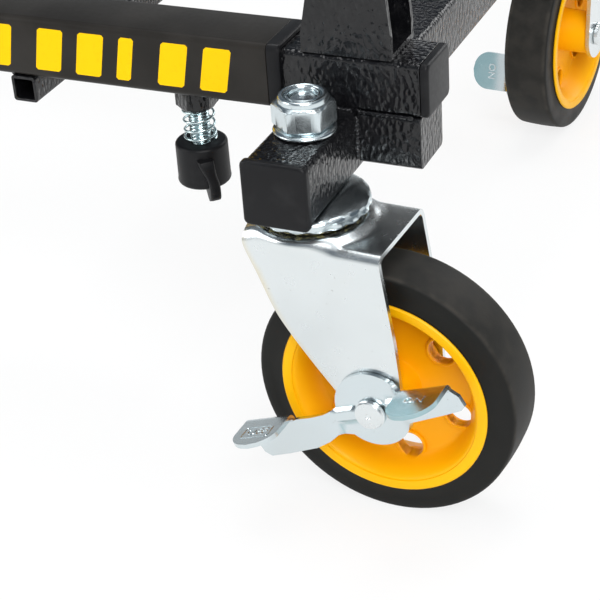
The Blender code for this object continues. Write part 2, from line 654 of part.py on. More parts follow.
def fork_outline():
    """Return the side view of a fork leg, in the fork's frame."""
    foot = (CASTER_TRAIL - FORK_FOOT_SHIFT, CASTER_RADIUS)
    back = [(-FORK_BACK, FORK_TOP_Z + 4 * MM), (-FORK_BACK, FORK_TOP_Z - 5 * MM),
            (-FORK_BACK * 0.73, FORK_TOP_Z - 18 * MM), (-1.7 * MM, FORK_TOP_Z - 46.5 * MM)]
    round_foot = arc(foot, FORK_FOOT_RADIUS, 162, 365, 12)
    front = [(FORK_FRONT + 2.8 * MM, FORK_TOP_Z - 21.6 * MM), (FORK_FRONT, FORK_TOP_Z + 4 * MM)]
    return back + round_foot + front


def build_fork(side, swivel):
    """Add a caster fork: a bent sheet under a raised round bearing seat."""
    half = FORK_WIDTH / 2
    low = CASTER_RADIUS - 2 * FORK_FOOT_RADIUS
    bend = FORK_BEND
    outer = ([(-half, low), (-half, FORK_TOP_Z - bend)]
             + arc((-half + bend, FORK_TOP_Z - bend), bend, 180, 90, 4)[1:]
             + arc((half - bend, FORK_TOP_Z - bend), bend, 90, 0, 4) + [(half, low)])
    inner_bend = bend - FORK_SHEET
    inner_half = half - FORK_SHEET
    inner = ([(inner_half, low)]
             + arc((half - bend, FORK_TOP_Z - bend), inner_bend, 0, 90, 4)
             + arc((-half + bend, FORK_TOP_Z - bend), inner_bend, 90, 180, 4)
             + [(-inner_half, low)])
    profile = outer + inner
    rings = [section(x, profile) for x in (-FORK_BACK - 5 * MM, FORK_FRONT + 15 * MM)]
    fork = add_object(f"caster_fork_{side}", skin(rings, False), ZINC, swivel)
    combine(fork, plate(fork_outline(), -FORK_WIDTH, FORK_WIDTH), "INTERSECT", "side_view")
    seat_top = FORK_TOP_Z + SEAT_HEIGHT
    seat = [(SEAT_RADIUS - 1 * MM, FORK_TOP_Z - FORK_SHEET + GAP), (SEAT_RADIUS, FORK_TOP_Z - 1 * MM),
            (SEAT_RADIUS, seat_top - 1 * MM), (SEAT_RADIUS - 1 * MM, seat_top)]
    combine(fork, turned(seat, FACETS["dish"], False), "UNION", "seat")
    bore = rod(KINGPIN_RADIUS + GAP, 4 * bend, FACETS["screw"], (0, 0, FORK_TOP_Z))
    combine(fork, bore, "DIFFERENCE", "kingpin_bore")
    axle_hole = rod(AXLE_RADIUS + GAP, 2 * FORK_WIDTH, FACETS["screw"],
                    (CASTER_TRAIL, 0, CASTER_RADIUS), "Y")
    combine(fork, axle_hole, "DIFFERENCE", "axle_hole")


def lever_outline():
    """Return the brake lever's flat plate, along U and across V."""
    hub = (LEVER_HUB_SHIFT, LEVER_HUB_SHIFT)
    left_end = [(ON_TONGUE_U + TONGUE_WIDTH - 1 * MM, ON_TONGUE_V), (ON_TONGUE_U, ON_TONGUE_V),
                (ON_TONGUE_U + 0.5 * MM, ON_TONGUE_V - 13.6 * MM),
                (ON_TONGUE_U + 4.6 * MM, ON_TONGUE_V - 20.6 * MM)]
    left_foot = [(-34 * MM, -13.9 * MM), (-21 * MM, -9 * MM)]
    low_arc = arc(hub, LEVER_HUB_RADIUS, 222, 335, 9)
    right_end = [(39.2 * MM, -4 * MM), (48.5 * MM, -1.5 * MM),
                 (OFF_TONGUE_U + TONGUE_WIDTH + 1 * MM, OFF_TONGUE_V),
                 (OFF_TONGUE_U, OFF_TONGUE_V)]
    top_arc = arc(hub, LEVER_HUB_RADIUS, 32, 146, 9)
    return left_end + left_foot + low_arc + right_end + top_arc + [(-24 * MM, 9.4 * MM)]


def build_brake_lever(side, swivel):
    """Add the brake lever and its two tongues on the fork's outer face."""
    pivot = empty(f"brake_lever_pivot_{side}", (CASTER_TRAIL, 0, CASTER_RADIUS), swivel,
                  (0, -LEVER_TILT[side], 0))
    inner = -(FORK_WIDTH / 2 + GAP)
    outer = inner - LEVER_SHEET
    lever = add_object(f"brake_lever_{side}", plate(lever_outline(), outer, inner), ZINC, pivot)
    tongues = ((ON_TONGUE_U, ON_TONGUE_V, "on_tongue"), (OFF_TONGUE_U, OFF_TONGUE_V, "off_tongue"))
    reach = outer + LEVER_SHEET * 0.5 - TONGUE_REACH
    for start, top, what in tongues:
        end = start + TONGUE_WIDTH
        curve = arc((start + TONGUE_WIDTH / 2, reach + TONGUE_WIDTH * 0.45), TONGUE_WIDTH * 0.5, 190, 350, 8)
        outline = [(end, outer + LEVER_SHEET * 0.5), (start, outer + LEVER_SHEET * 0.5)] + curve
        combine(lever, plate(outline, top - LEVER_SHEET, top - 0.05 * MM, flat="XY"), "UNION", what)
    for start, end, what in ((-20 * MM, -9.5 * MM, "rib_left"), (9.5 * MM, 19 * MM, "rib_right")):
        rib = block((start, outer - RIB_HEIGHT, RIB_V - RIB_HALF_WIDTH),
                    (end, outer + LEVER_SHEET * 0.5, RIB_V + RIB_HALF_WIDTH))
        combine(lever, rib, "UNION", what)
    hole = rod(AXLE_RADIUS + GAP, 4 * LEVER_SHEET, FACETS["screw"], (0, (inner + outer) / 2, 0), "Y")
    combine(lever, hole, "DIFFERENCE", "axle_hole")


def build_casters():
    """Add both casters: stem, fork, axle, wheel and brake lever."""
    for side, sign in SIDES.items():
        build_stem(side, sign)
        swivel = empty(f"caster_swivel_{side}", (STEM_X, sign * STEM_Y, 0),
                       rotation=(0, 0, CASTER_YAW[side]))
        build_fork(side, swivel)
        lever_outer = FORK_WIDTH / 2 + GAP + LEVER_SHEET
        near_end = -(lever_outer + GAP)
        far_end = FORK_WIDTH / 2 + GAP
        head = AXLE_HEAD_RADIUS
        profile = [(head - 0.8 * MM, near_end - AXLE_HEAD), (head, near_end - AXLE_HEAD + 0.8 * MM),
                   (head, near_end), (AXLE_RADIUS, near_end), (AXLE_RADIUS, far_end),
                   (head, far_end), (head - 1 * MM, far_end + AXLE_HEAD)]
        axle = add_object(f"caster_axle_{side}", lay_along_y(turned(profile, FACETS["screw"], False)),
                          ZINC, swivel)
        axle.location = (CASTER_TRAIL, 0, CASTER_RADIUS)
        spin = empty(f"caster_wheel_{side}", (CASTER_TRAIL, 0, CASTER_RADIUS), swivel)
        hub_half = FORK_WIDTH / 2 - FORK_SHEET - RUN
        wheel_pieces(f"caster_{side}", spin, CASTER_RADIUS, CASTER_TYRE_WIDTH, CASTER_RIM_RADIUS,
                     hub_half, AXLE_RADIUS + GAP)
        build_brake_lever(side, swivel)


def handle_path(height):
    """Return the handle's centre line and its direction at each point."""
    path = [((-RAIL_Y, -HANDLE_FOOT), 90.0), ((-RAIL_Y, height - HANDLE_BEND), 90.0)]
    steps = 5
    for i in range(1, steps + 1):
        turn = 180 - 90 * i / steps
        point = arc((-RAIL_Y + HANDLE_BEND, height - HANDLE_BEND), HANDLE_BEND, turn, turn, 1)[0]
        path.append((point, turn - 90.0))
    for i in range(steps + 1):
        turn = 90 - 90 * i / steps
        point = arc((RAIL_Y - HANDLE_BEND, height - HANDLE_BEND), HANDLE_BEND, turn, turn, 1)[0]
        path.append((point, turn - 90.0))
    path.append(((RAIL_Y, -HANDLE_FOOT), -90.0))
    return path


def build_handle(end, pivot_x, pivot_z, outward):
    """Add a U-shaped handle, its brackets and its clamp screws at one end."""
    fold = empty(f"{end}_handle_fold", (pivot_x, 0, pivot_z),
                 rotation=(0, outward * HANDLE_LEAN, 0))
    count = FACETS["handle"]
    walls = []
    for radius in (HANDLE_RADIUS, HANDLE_RADIUS - HANDLE_WALL):
        rings = []
        for (y, z), heading in handle_path(HANDLE_HEIGHT):
            side_y, side_z = (math.cos(math.radians(heading - 90)), math.sin(math.radians(heading - 90)))
            ring = []
            for i in range(count):
                angle = 2 * math.pi * i / count
                out = radius * math.cos(angle)
                ring.append(Vector((radius * math.sin(angle), y + out * side_y, z + out * side_z)))
            rings.append(ring)
        walls.append(rings)
    tube = add_object(f"{end}_handle", skin(walls[0] + walls[1][::-1], True), BLACK_HAMMERED, fold)
    bore = rod(PIVOT_SCREW_RADIUS + GAP, 2 * RAIL_Y + 4 * HANDLE_RADIUS, FACETS["screw"], axis="Y")
    combine(tube, bore, "DIFFERENCE", "screw_hole")
    for side, sign in SIDES.items():
        build_bracket(f"{end}_bracket_{side}", pivot_x, pivot_z, outward, sign,
                      OUTER_TOP_Z if end == "rear" else INNER_TOP_Z)
        build_handle_screw(end, side, sign, pivot_x, pivot_z)


def build_bracket(name, pivot_x, pivot_z, outward, sign, rail_top):
    """Add a handle bracket: base, two cheeks, a stop strap and a screw boss."""
    gap = HANDLE_RADIUS + GAP
    cheek = gap + BRACKET_SHEET
    base = rail_top + GAP - pivot_z
    top = BRACKET_STOP_HIGH
    lean_reach = HANDLE_RADIUS / math.cos(HANDLE_LEAN) + top * math.tan(HANDLE_LEAN) + RUN
    strap = lean_reach + BRACKET_SHEET
    profile = [(-cheek, base), (cheek, base), (cheek, top), (gap, top),
               (gap, base + BRACKET_SHEET), (-gap, base + BRACKET_SHEET), (-gap, top), (-cheek, top)]
    half = BRACKET_HALF_LENGTH
    rings = [section(x, profile) for x in (-half, half)]
    bracket = add_object(name, skin(rings, False), BLACK_HAMMERED)
    bracket.location = (pivot_x, sign * RAIL_Y, pivot_z)
    side_view = [(-outward * half, base - 1 * MM), (outward * half, base - 1 * MM),
                 (outward * half, base + 10 * MM), (outward * strap, top),
                 (outward * (strap - 6 * MM), top + 1 * MM), (0.0, top * 0.62),
                 (-outward * half * 0.62, 5 * MM), (-outward * half, base + 8 * MM)]
    combine(bracket, plate(side_view, -2 * cheek, 2 * cheek), "INTERSECT", "side_view")
    ends = sorted((outward * lean_reach, outward * strap))
    stop = block((ends[0], -gap - BRACKET_SHEET / 2, BRACKET_STOP_LOW),
                 (ends[1], gap + BRACKET_SHEET / 2, top - 0.5 * MM))
    combine(bracket, stop, "UNION", "stop")
    boss = rod(PIVOT_BOSS_RADIUS, PIVOT_BOSS_LENGTH, FACETS["screw"], axis="Y",
               centre=(0, -sign * (cheek + PIVOT_BOSS_LENGTH / 2 - 0.5 * MM), 0))
    combine(bracket, boss, "UNION", "boss")
    hole = rod(PIVOT_SCREW_RADIUS + GAP, 4 * cheek, FACETS["screw"], axis="Y")
    combine(bracket, hole, "DIFFERENCE", "screw_hole")


def build_handle_screw(end, side, sign, pivot_x, pivot_z):
    """Add the wing screw that a handle leg pivots on."""
    outer = HANDLE_RADIUS + BRACKET_SHEET + 2 * GAP
    pivot = empty(f"{end}_screw_turn_{side}", (pivot_x, sign * RAIL_Y, pivot_z),
                  rotation=(sign * math.pi / 2, 0, 0))
    scale = HANDLE_KNOB_SCALE
    base, height = KNOB_BASE_RADIUS * scale, KNOB_HEIGHT * scale
    end_inner = outer + PIVOT_BOSS_LENGTH
    edge = 1 * MM
    profile = [(PIVOT_SCREW_RADIUS - edge, end_inner), (PIVOT_SCREW_RADIUS, end_inner - edge),
               (PIVOT_SCREW_RADIUS, -outer - GAP), (base - edge, -outer - GAP),
               (base, -outer - GAP - edge), (base, -outer - height), (base - edge, -outer - height - edge)]
    screw = add_object(f"{end}_handle_screw_{side}", turned(profile, FACETS["screw"], False),
                       BLACK_PLASTIC, pivot)
    half = WING_THICKNESS * scale / 2
    wing = block((-WING_RADIUS * scale, -half, -outer - height - WING_BELOW * scale),
                 (WING_RADIUS * scale, half, -outer - height * 0.4))
    combine(screw, wing, "UNION", "wings")


def build():
    """Build the whole cart."""
    clear_scene()
    build_outer_rails()
    build_cross_tube()
    build_rail_clamps()
    build_rear_axle()
    build_front_frame()
    build_beam()
    build_casters()
    build_handle("rear", STEM_X - REAR_PIVOT_SETBACK, REAR_PIVOT_Z, -1)
    build_handle("front", STEM_X + FRONT_PIVOT_X, FRONT_PIVOT_Z, 1)


build()
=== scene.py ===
"""Looks of a folding equipment cart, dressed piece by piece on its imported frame.

Places are in millimetres, in the part's own frame: +X to the casters, +Y to
the cart's left, +Z up, with the floor at Z = 0.
"""

import json
import logging
import math
from dataclasses import dataclass, field
from enum import Enum
from functools import cached_property
from typing import Any, Callable, Dict, List, Optional, Sequence, Tuple, Union

import bmesh
import bpy
from mathutils import Matrix, Vector

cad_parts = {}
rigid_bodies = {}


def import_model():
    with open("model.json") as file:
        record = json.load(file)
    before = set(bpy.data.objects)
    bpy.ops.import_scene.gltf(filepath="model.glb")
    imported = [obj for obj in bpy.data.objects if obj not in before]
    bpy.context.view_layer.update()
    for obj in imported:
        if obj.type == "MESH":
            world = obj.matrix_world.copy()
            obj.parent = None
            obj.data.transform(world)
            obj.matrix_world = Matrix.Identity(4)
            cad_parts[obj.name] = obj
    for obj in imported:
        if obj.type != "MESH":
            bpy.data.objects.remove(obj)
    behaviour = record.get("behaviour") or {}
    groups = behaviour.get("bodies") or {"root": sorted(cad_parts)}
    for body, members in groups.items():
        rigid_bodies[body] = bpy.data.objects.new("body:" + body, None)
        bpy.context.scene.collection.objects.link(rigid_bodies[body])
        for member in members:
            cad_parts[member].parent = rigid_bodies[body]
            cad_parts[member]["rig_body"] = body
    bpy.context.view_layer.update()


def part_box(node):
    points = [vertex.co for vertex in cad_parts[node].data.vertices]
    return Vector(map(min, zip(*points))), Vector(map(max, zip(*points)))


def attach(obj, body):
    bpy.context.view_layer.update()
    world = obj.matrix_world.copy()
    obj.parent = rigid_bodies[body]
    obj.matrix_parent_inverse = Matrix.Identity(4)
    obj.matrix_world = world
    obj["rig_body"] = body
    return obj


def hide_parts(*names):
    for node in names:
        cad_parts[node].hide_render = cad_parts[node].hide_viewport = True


LOG = logging.getLogger("cart")
MM = 0.001
SHARP_ANGLE = 38
BEVEL_ANGLE = 40
Point = Tuple[float, float]
Place = Tuple[float, float, float]
Colour = Tuple[float, float, float]
Operand = Union["Signal", float]
Tint = Union["Signal", Colour]


class Side(Enum):
    """The cart's two sides."""

    RIGHT = "right"
    LEFT = "left"

    @property
    def sign(self) -> int:
        """Which way along Y the side lies."""
        return -1 if self is Side.RIGHT else 1


class End(Enum):
    """The cart's two ends."""

    REAR = "rear"
    FRONT = "front"

    @property
    def sign(self) -> int:
        """Which way along X the end lies."""
        return -1 if self is End.REAR else 1


def smoothstep(value: float, low: float, high: float) -> float:
    """Ease a value from 0 at low to 1 at high.

    Args:
        value: The value to ease.
        low: Where the result is 0.
        high: Where the result is 1.

    Returns:
        The eased value, between 0 and 1.
    """
    t = min(1.0, max(0.0, (value - low) / (high - low)))
    return t * t * (3 - 2 * t)


def polar(radius: float, angle: float) -> Point:
    """Give the point at a radius and an angle in radians."""
    return radius * math.cos(angle), radius * math.sin(angle)


def arc(centre: Point, radius: float, start: float, end: float, steps: int) -> List[Point]:
    """Lay points along an arc.

    Args:
        centre: The arc's centre.
        radius: Its radius.
        start: Its first angle in degrees.
        end: Its last angle in degrees.
        steps: How many steps it takes.

    Returns:
        The points, both ends included.
    """
    points = [polar(radius, math.radians(start + (end - start) * i / steps))
              for i in range(steps + 1)]
    return [(centre[0] + x, centre[1] + y) for x, y in points]


def rounded(width: float, height: float, radius: float, steps: int = 6) -> List[Point]:
    """Outline a rectangle about its centre, with round corners.

    Args:
        width: Its size along the first axis.
        height: Its size along the second axis.
        radius: The corners' radius.
        steps: Steps in each corner.

    Returns:
        The outline, anticlockwise.
    """
    a, b = width / 2 - radius, height / 2 - radius
    points: List[Point] = []
    for x, y, start in ((a, b, 0), (-a, b, 90), (-a, -b, 180), (a, -b, 270)):
        points += arc((x, y), radius, start, start + 90, steps)
    return points


def mirrored(points: Sequence[Point], axis: int, shared: bool = False) -> List[Point]:
    """Follow points by their mirror images, in reverse order.

    Args:
        points: The first half.
        axis: Which coordinate changes its sign, 0 or 1.
        shared: Whether the last point lies on the mirror, and so stands once.

    Returns:
        Both halves.
    """
    back = reversed(points[:-1] if shared else points)
    return list(points) + [(-a, b) if axis == 0 else (a, -b) for a, b in back]


def along_x(stations: Sequence[Tuple[float, Sequence[Point]]], y: float = 0.0,
            z: float = 0.0) -> List[List[Place]]:
    """Stand outlines in YZ at their places along X.

    Args:
        stations: Each place along X with its outline.
        y: How far the outlines are moved along Y.
        z: How far they are moved along Z.

    Returns:
        The rings.
    """
    return [[(x, y + a, z + b) for a, b in outline] for x, outline in stations]


def through(knots: Sequence[Point], at: float) -> float:
    """Read a smooth curve through knots.

    Args:
        knots: The (place, value) knots, in order of place.
        at: Where to read it.

    Returns:
        The value there.
    """
    at = min(max(at, knots[0][0]), knots[-1][0])
    i = max(k for k in range(len(knots) - 1) if knots[k][0] <= at)
    (x0, y0), (x1, y1) = knots[i], knots[i + 1]
    before, after = knots[max(i - 1, 0)], knots[min(i + 2, len(knots) - 1)]
    span = x1 - x0
    m0 = (y1 - before[1]) / (x1 - before[0]) * span
    m1 = (after[1] - y0) / (after[0] - x0) * span
    t = (at - x0) / span
    return ((2 * t**3 - 3 * t**2 + 1) * y0 + (t**3 - 2 * t**2 + t) * m0
            + (3 * t**2 - 2 * t**3) * y1 + (t**3 - t**2) * m1)


class Signal:
    """A number on its way through a shader, which adds Math nodes as it is reckoned with."""

    def __init__(self, graph: "Graph", socket: bpy.types.NodeSocket) -> None:
        """Wrap a socket of a graph."""
        self.graph = graph
        self.socket = socket

    def math(self, operation: str, *values: Operand) -> "Signal":
        """Add one Math node of an operation, with its inputs in order, and give its result."""
        return self.graph.signal("ShaderNodeMath", {"operation": operation},
                                 dict(enumerate(values)))

    def __add__(self, other: Operand) -> "Signal":
        """Add a signal or number."""
        return self.math("ADD", self, other)

    def __radd__(self, other: float) -> "Signal":
        """Add to a number."""
        return self.math("ADD", other, self)

    def __sub__(self, other: Operand) -> "Signal":
        """Take away a signal or number."""
        return self.math("SUBTRACT", self, other)

    def __rsub__(self, other: float) -> "Signal":
        """Take this from a number."""
        return self.math("SUBTRACT", other, self)

    def __mul__(self, other: Operand) -> "Signal":
        """Multiply by a signal or number."""
        return self.math("MULTIPLY", self, other)

    def __rmul__(self, other: float) -> "Signal":
        """Multiply a number."""
        return self.math("MULTIPLY", other, self)

    def between(self, low: float, high: float) -> "Signal":
        """Ease from 0 at low to 1 at high."""
        return self.graph.signal("ShaderNodeMapRange", {"interpolation_type": "SMOOTHSTEP"},
                                 {"Value": self, "From Min": low, "From Max": high})


class Graph:
    """The nodes of one material, or of a world."""

    def __init__(self, name: str, world: Optional[bpy.types.World] = None) -> None:
        """Start an empty material of that name, or empty a world.

        Args:
            name: The new material's name.
            world: A world to use in its place.
        """
        self.material = world or bpy.data.materials.new(name)
        self.material.use_nodes = True
        self.tree = self.material.node_tree
        self.tree.nodes.clear()

    @cached_property
    def place(self) -> Signal:
        """The object's own place, read by one node."""
        return self.signal("ShaderNodeTexCoord", {}, {}, "Object")

    def node(self, kind: str, settings: Dict[str, Any], inputs: Dict[Any, Any]) -> bpy.types.Node:
        """Add a node.

        Args:
            kind: Its type.
            settings: Its own properties, set first.
            inputs: Values or links of its sockets, by name or number.

        Returns:
            The node.
        """
        node = self.tree.nodes.new(kind)
        for key, value in settings.items():
            setattr(node, key, value)
        for key, value in inputs.items():
            if isinstance(value, Signal):
                self.tree.links.new(value.socket, node.inputs[key])
            elif isinstance(value, tuple) and len(value) == 3 and node.inputs[key].type == "RGBA":
                node.inputs[key].default_value = (*value, 1.0)
            else:
                node.inputs[key].default_value = value
        return node

    def signal(self, kind: str, settings: Dict[str, Any], inputs: Dict[Any, Any],
               output: Union[int, str] = 0) -> Signal:
        """Add a node as the method node does, and give one of its outputs."""
        return Signal(self, self.node(kind, settings, inputs).outputs[output])

    def noise(self, period: float, detail: float = 2.0, distortion: float = 0.0,
              at: Optional[Signal] = None) -> Signal:
        """Add cloudy noise.

        Args:
            period: The clouds' size in millimetres.
            detail: How many finer layers it has.
            distortion: How much it swirls.
            at: Where it is read, at the object's own place if left out.

        Returns:
            The noise, about 0 to 1.
        """
        return self.signal("ShaderNodeTexNoise", {"noise_dimensions": "3D"},
                           {"Vector": at or self.place, "Scale": 1 / (period * MM),
                            "Detail": detail, "Distortion": distortion})

    def cells(self, period: float, smooth: float, at: Signal) -> Signal:
        """Add rounded cells of a size in millimetres, and give the distance from their middles."""
        return self.signal("ShaderNodeTexVoronoi", {"feature": "SMOOTH_F1"},
                           {"Vector": at, "Scale": 1 / (period * MM), "Smoothness": smooth})

    def stretched(self, x: float, y: float, z: float) -> Signal:
        """Scale the object's place, so that a pattern runs longer one way."""
        return self.signal("ShaderNodeVectorMath", {"operation": "MULTIPLY"},
                           {0: self.place, 1: (x, y, z)})

    def wear_and_painted_light(self) -> Signal:
        """Read the mark that the mesh code leaves on each point: wear and dust, and painted shade
        and highlight.
        """
        return self.signal("ShaderNodeAttribute", {"attribute_name": "wear_and_painted_light"}, {}, "Fac")

    def mix(self, first: Tint, second: Tint, share: Operand) -> Signal:
        """Mix two colours: the first where the share is 0, the second where it is 1."""
        return self.signal("ShaderNodeMix", {"data_type": "RGBA"},
                           {0: share, 6: first, 7: second}, 2)

    def bump(self, height: Signal, depth: float, strength: float,
             under: Optional[Signal] = None) -> Signal:
        """Turn a height into a bumped normal.

        Args:
            height: The height, 0 to 1.
            depth: What a height of 1 stands for, in millimetres.
            strength: How much of it shows.
            under: A bumped normal to lay it over.

        Returns:
            The normal.
        """
        inputs: Dict[Any, Any] = {"Height": height, "Distance": depth * MM, "Strength": strength}
        if under is not None:
            inputs["Normal"] = under
        return self.signal("ShaderNodeBump", {}, inputs)

    def finish(self, **inputs: Any) -> bpy.types.Material:
        """Add the surface shader.

        Args:
            inputs: Its sockets, with _ for each space in a name.

        Returns:
            The finished material.
        """
        sockets = {key.replace("_", " "): value for key, value in inputs.items()}
        shader = self.signal("ShaderNodeBsdfPrincipled", {}, sockets)
        self.node("ShaderNodeOutputMaterial", {}, {"Surface": shader})
        return self.material


@dataclass(frozen=True)
class Finish:
    """A surface finish, and the record's material slot that it belongs to."""

    name: str
    slot: str

    def paint(self, graph: Graph) -> bpy.types.Material:
        """Add this finish's nodes to a graph."""
        raise NotImplementedError

    def material(self) -> bpy.types.Material:
        """Give the finish's material, made when it is first asked for."""
        return bpy.data.materials.get(self.name) or self.paint(Graph(self.name))


@dataclass(frozen=True)
class ZincPlate(Finish):
    """Bright zinc plate: pale, faintly clouded, with a warm tint along cut edges, and on the lever
    a dark blue-grey tint that is painted shade in its creases and at its tongue ends.
    """

    name: str = "bright_zinc"
    slot: str = "zinc_plate"
    colour: Colour = (0.745, 0.785, 0.795)
    tint_and_shade: Colour = (0.76, 0.70, 0.54)
    speck: Colour = (0.22, 0.21, 0.18)
    bloom: Colour = (0.60, 0.64, 0.65)
    roughness: float = 0.25

    def paint(self, graph: Graph) -> bpy.types.Material:
        """Add the plate's clouds, tint, specks and fine ripple.

        Args:
            graph: The material's graph, empty.

        Returns:
            The finished material.
        """
        cloud = graph.noise(24, 3.0)
        # Where the mesh marks it, the plate takes the second tint: a warm cut edge on the fork, and
        # painted shade on the lever.
        tint = (cloud - 0.5) * 0.5 + graph.wear_and_painted_light() * 0.55
        base = graph.mix(self.colour, self.tint_and_shade, tint.between(0.02, 0.9))
        specks = graph.noise(1.1, 1.0).between(0.74, 0.80)
        base = graph.mix(base, self.speck, specks * 0.5)
        base = graph.mix(base, self.bloom, graph.noise(60).between(0.45, 0.75) * 0.5)
        rough = self.roughness + (graph.noise(7, 4.0) - 0.5) * 0.16
        ripple = graph.bump(graph.noise(11, 1.0), 0.04, 0.35)
        grain = graph.bump(graph.noise(0.5), 0.006, 0.6, ripple)
        return graph.finish(Base_Color=base, Metallic=1.0, Roughness=rough, Normal=grain)


@dataclass(frozen=True)
class HammeredPaint(Finish):
    """Glossy black hammered paint: small dimples over a near-black coat."""

    name: str = "hammered_paint"
    slot: str = "hammered_black"
    colour: Colour = (0.005, 0.005, 0.006)
    pale: Colour = (0.013, 0.013, 0.014)
    dimple: float = 2.3

    def paint(self, graph: Graph) -> bpy.types.Material:
        """Add the dimples, a little taller than wide, and their swirls.

        Args:
            graph: The material's graph, empty.

        Returns:
            The finished material.
        """
        tall = graph.stretched(1.0, 1.0, 0.62)
        swirl = graph.noise(3.4, distortion=1.4, at=tall)
        dimples = graph.cells(self.dimple, 0.5, tall)
        height = dimples.between(0.05, 0.75) * 0.6 + swirl * 0.7
        base = graph.mix(self.colour, self.pale, graph.noise(5, 3.0).between(0.45, 0.75))
        rough = 0.12 + graph.noise(1.6) * 0.10
        return graph.finish(Base_Color=base, Roughness=rough, Specular_IOR_Level=0.42,
                            Normal=graph.bump(height, 0.55, 0.85))


@dataclass(frozen=True)
class PlainCoat(Finish):
    """A plain coat or moulding: faint clouds, uneven gloss and a fine grain.

    Sizes are in millimetres, and gloss is a roughness with how much it varies.
    """

    colour: Colour
    pale: Colour
    cloud: float
    cloud_edge: Point
    gloss: Point
    gloss_period: float
    specular: float
    grain: float
    grain_depth: float
    grain_strength: float

    def paint(self, graph: Graph) -> bpy.types.Material:
        """Add the coat's clouds, its gloss and its grain.

        Args:
            graph: The material's graph, empty.

        Returns:
            The finished material.
        """
        share = graph.noise(self.cloud, 4.0).between(*self.cloud_edge)
        base = graph.mix(self.colour, self.pale, share)
        rough = self.gloss[0] + graph.noise(self.gloss_period, 3.0) * self.gloss[1]
        grain = graph.bump(graph.noise(self.grain), self.grain_depth, self.grain_strength)
        return graph.finish(Base_Color=base, Roughness=rough, Specular_IOR_Level=self.specular,
                            Normal=grain)


@dataclass(frozen=True)
class TyreRubber(Finish):
    """Black rubber: dark sides, and a dusty grey-brown tread, with a painted highlight along the
    two brims.
    """

    name: str = "tyre_rubber_look"
    slot: str = "tyre_rubber"
    colour: Colour = (0.009, 0.009, 0.008)
    # The dust colour also paints the highlight along the brims.
    dust_and_highlight: Colour = (0.046, 0.041, 0.035)

    def paint(self, graph: Graph) -> bpy.types.Material:
        """Add the dust and the painted brim highlight, their mottling and the rubber's grain.

        Args:
            graph: The material's graph, empty.

        Returns:
            The finished material.
        """
        mottle = graph.noise(10, 5.0).between(0.32, 0.68)
        # The mesh's mark lays dust on the tread and a painted highlight along the brims.
        dust_and_highlight_share = graph.wear_and_painted_light() * (0.3 + mottle * 0.8) + graph.noise(14, 3.0).between(0.6, 0.9) * 0.12
        base = graph.mix(self.colour, self.dust_and_highlight, dust_and_highlight_share)
        rough = 0.46 + graph.wear_and_painted_light() * 0.24 + (mottle - 0.5) * 0.08
        return graph.finish(Base_Color=base, Roughness=rough, Specular_IOR_Level=0.18,
                            Normal=graph.bump(graph.noise(0.9, 3.0), 0.04, 0.7))


@dataclass(frozen=True)
class YellowPlastic(Finish):
    """Yellow moulded plastic, turned deeper orange inside the dished web as painted shade."""

    name: str = "yellow_moulding"
    slot: str = "yellow_plastic"
    colour: Colour = (1.0, 0.50, 0.0)
    # The deep colour is the painted shade inside the dish.
    deep: Colour = (0.92, 0.40, 0.0)

    def paint(self, graph: Graph) -> bpy.types.Material:
        """Add the moulding's slight mottling and its sheen.

        Args:
            graph: The material's graph, empty.

        Returns:
            The finished material.
        """
        # The mesh's mark paints shade in the dish; the noise varies the tone.
        share = graph.wear_and_painted_light() * 0.8 + (graph.noise(18, 3.0) - 0.5) * 0.16
        base = graph.mix(self.colour, self.deep, share.between(0.0, 1.0))
        rough = 0.34 + graph.noise(4, 3.0) * 0.12
        return graph.finish(Base_Color=base, Roughness=rough, Specular_IOR_Level=0.2,
                            Normal=graph.bump(graph.noise(1.2), 0.015, 0.5))


@dataclass(frozen=True)
class MarkingPaint(Finish):
    """Screen-printed yellow paint."""

    name: str = "marking_paint"
    slot: str = "yellow_plastic"
    colour: Colour = (1.0, 0.58, 0.0)
    deep: Colour = (0.86, 0.47, 0.0)

    def paint(self, graph: Graph) -> bpy.types.Material:
        """Add the print's slight unevenness."""
        base = graph.mix(self.colour, self.deep, graph.noise(2.0, 4.0).between(0.55, 0.85) * 0.5)
        return graph.finish(Base_Color=base, Roughness=0.4 + graph.noise(5) * 0.1,
                            Specular_IOR_Level=0.1)


@dataclass(frozen=True)
class BearingGrease(Finish):
    """Yellow-brown grease over steel balls."""

    name: str = "bearing_grease"
    slot: str = "zinc_plate"
    colour: Colour = (0.030, 0.026, 0.014)
    smear: Colour = (0.33, 0.28, 0.10)

    def paint(self, graph: Graph) -> bpy.types.Material:
        """Add the smeared grease, thin where steel shows through.

        Args:
            graph: The material's graph, empty.

        Returns:
            The finished material.
        """
        thin = graph.noise(5.5, 3.0).between(0.54, 0.66)
        base = graph.mix(self.colour, self.smear, thin)
        steel = graph.noise(2.0, 1.0).between(0.6, 0.7) * 0.6
        return graph.finish(Base_Color=base, Metallic=steel, Roughness=0.26)


ZINC = ZincPlate()
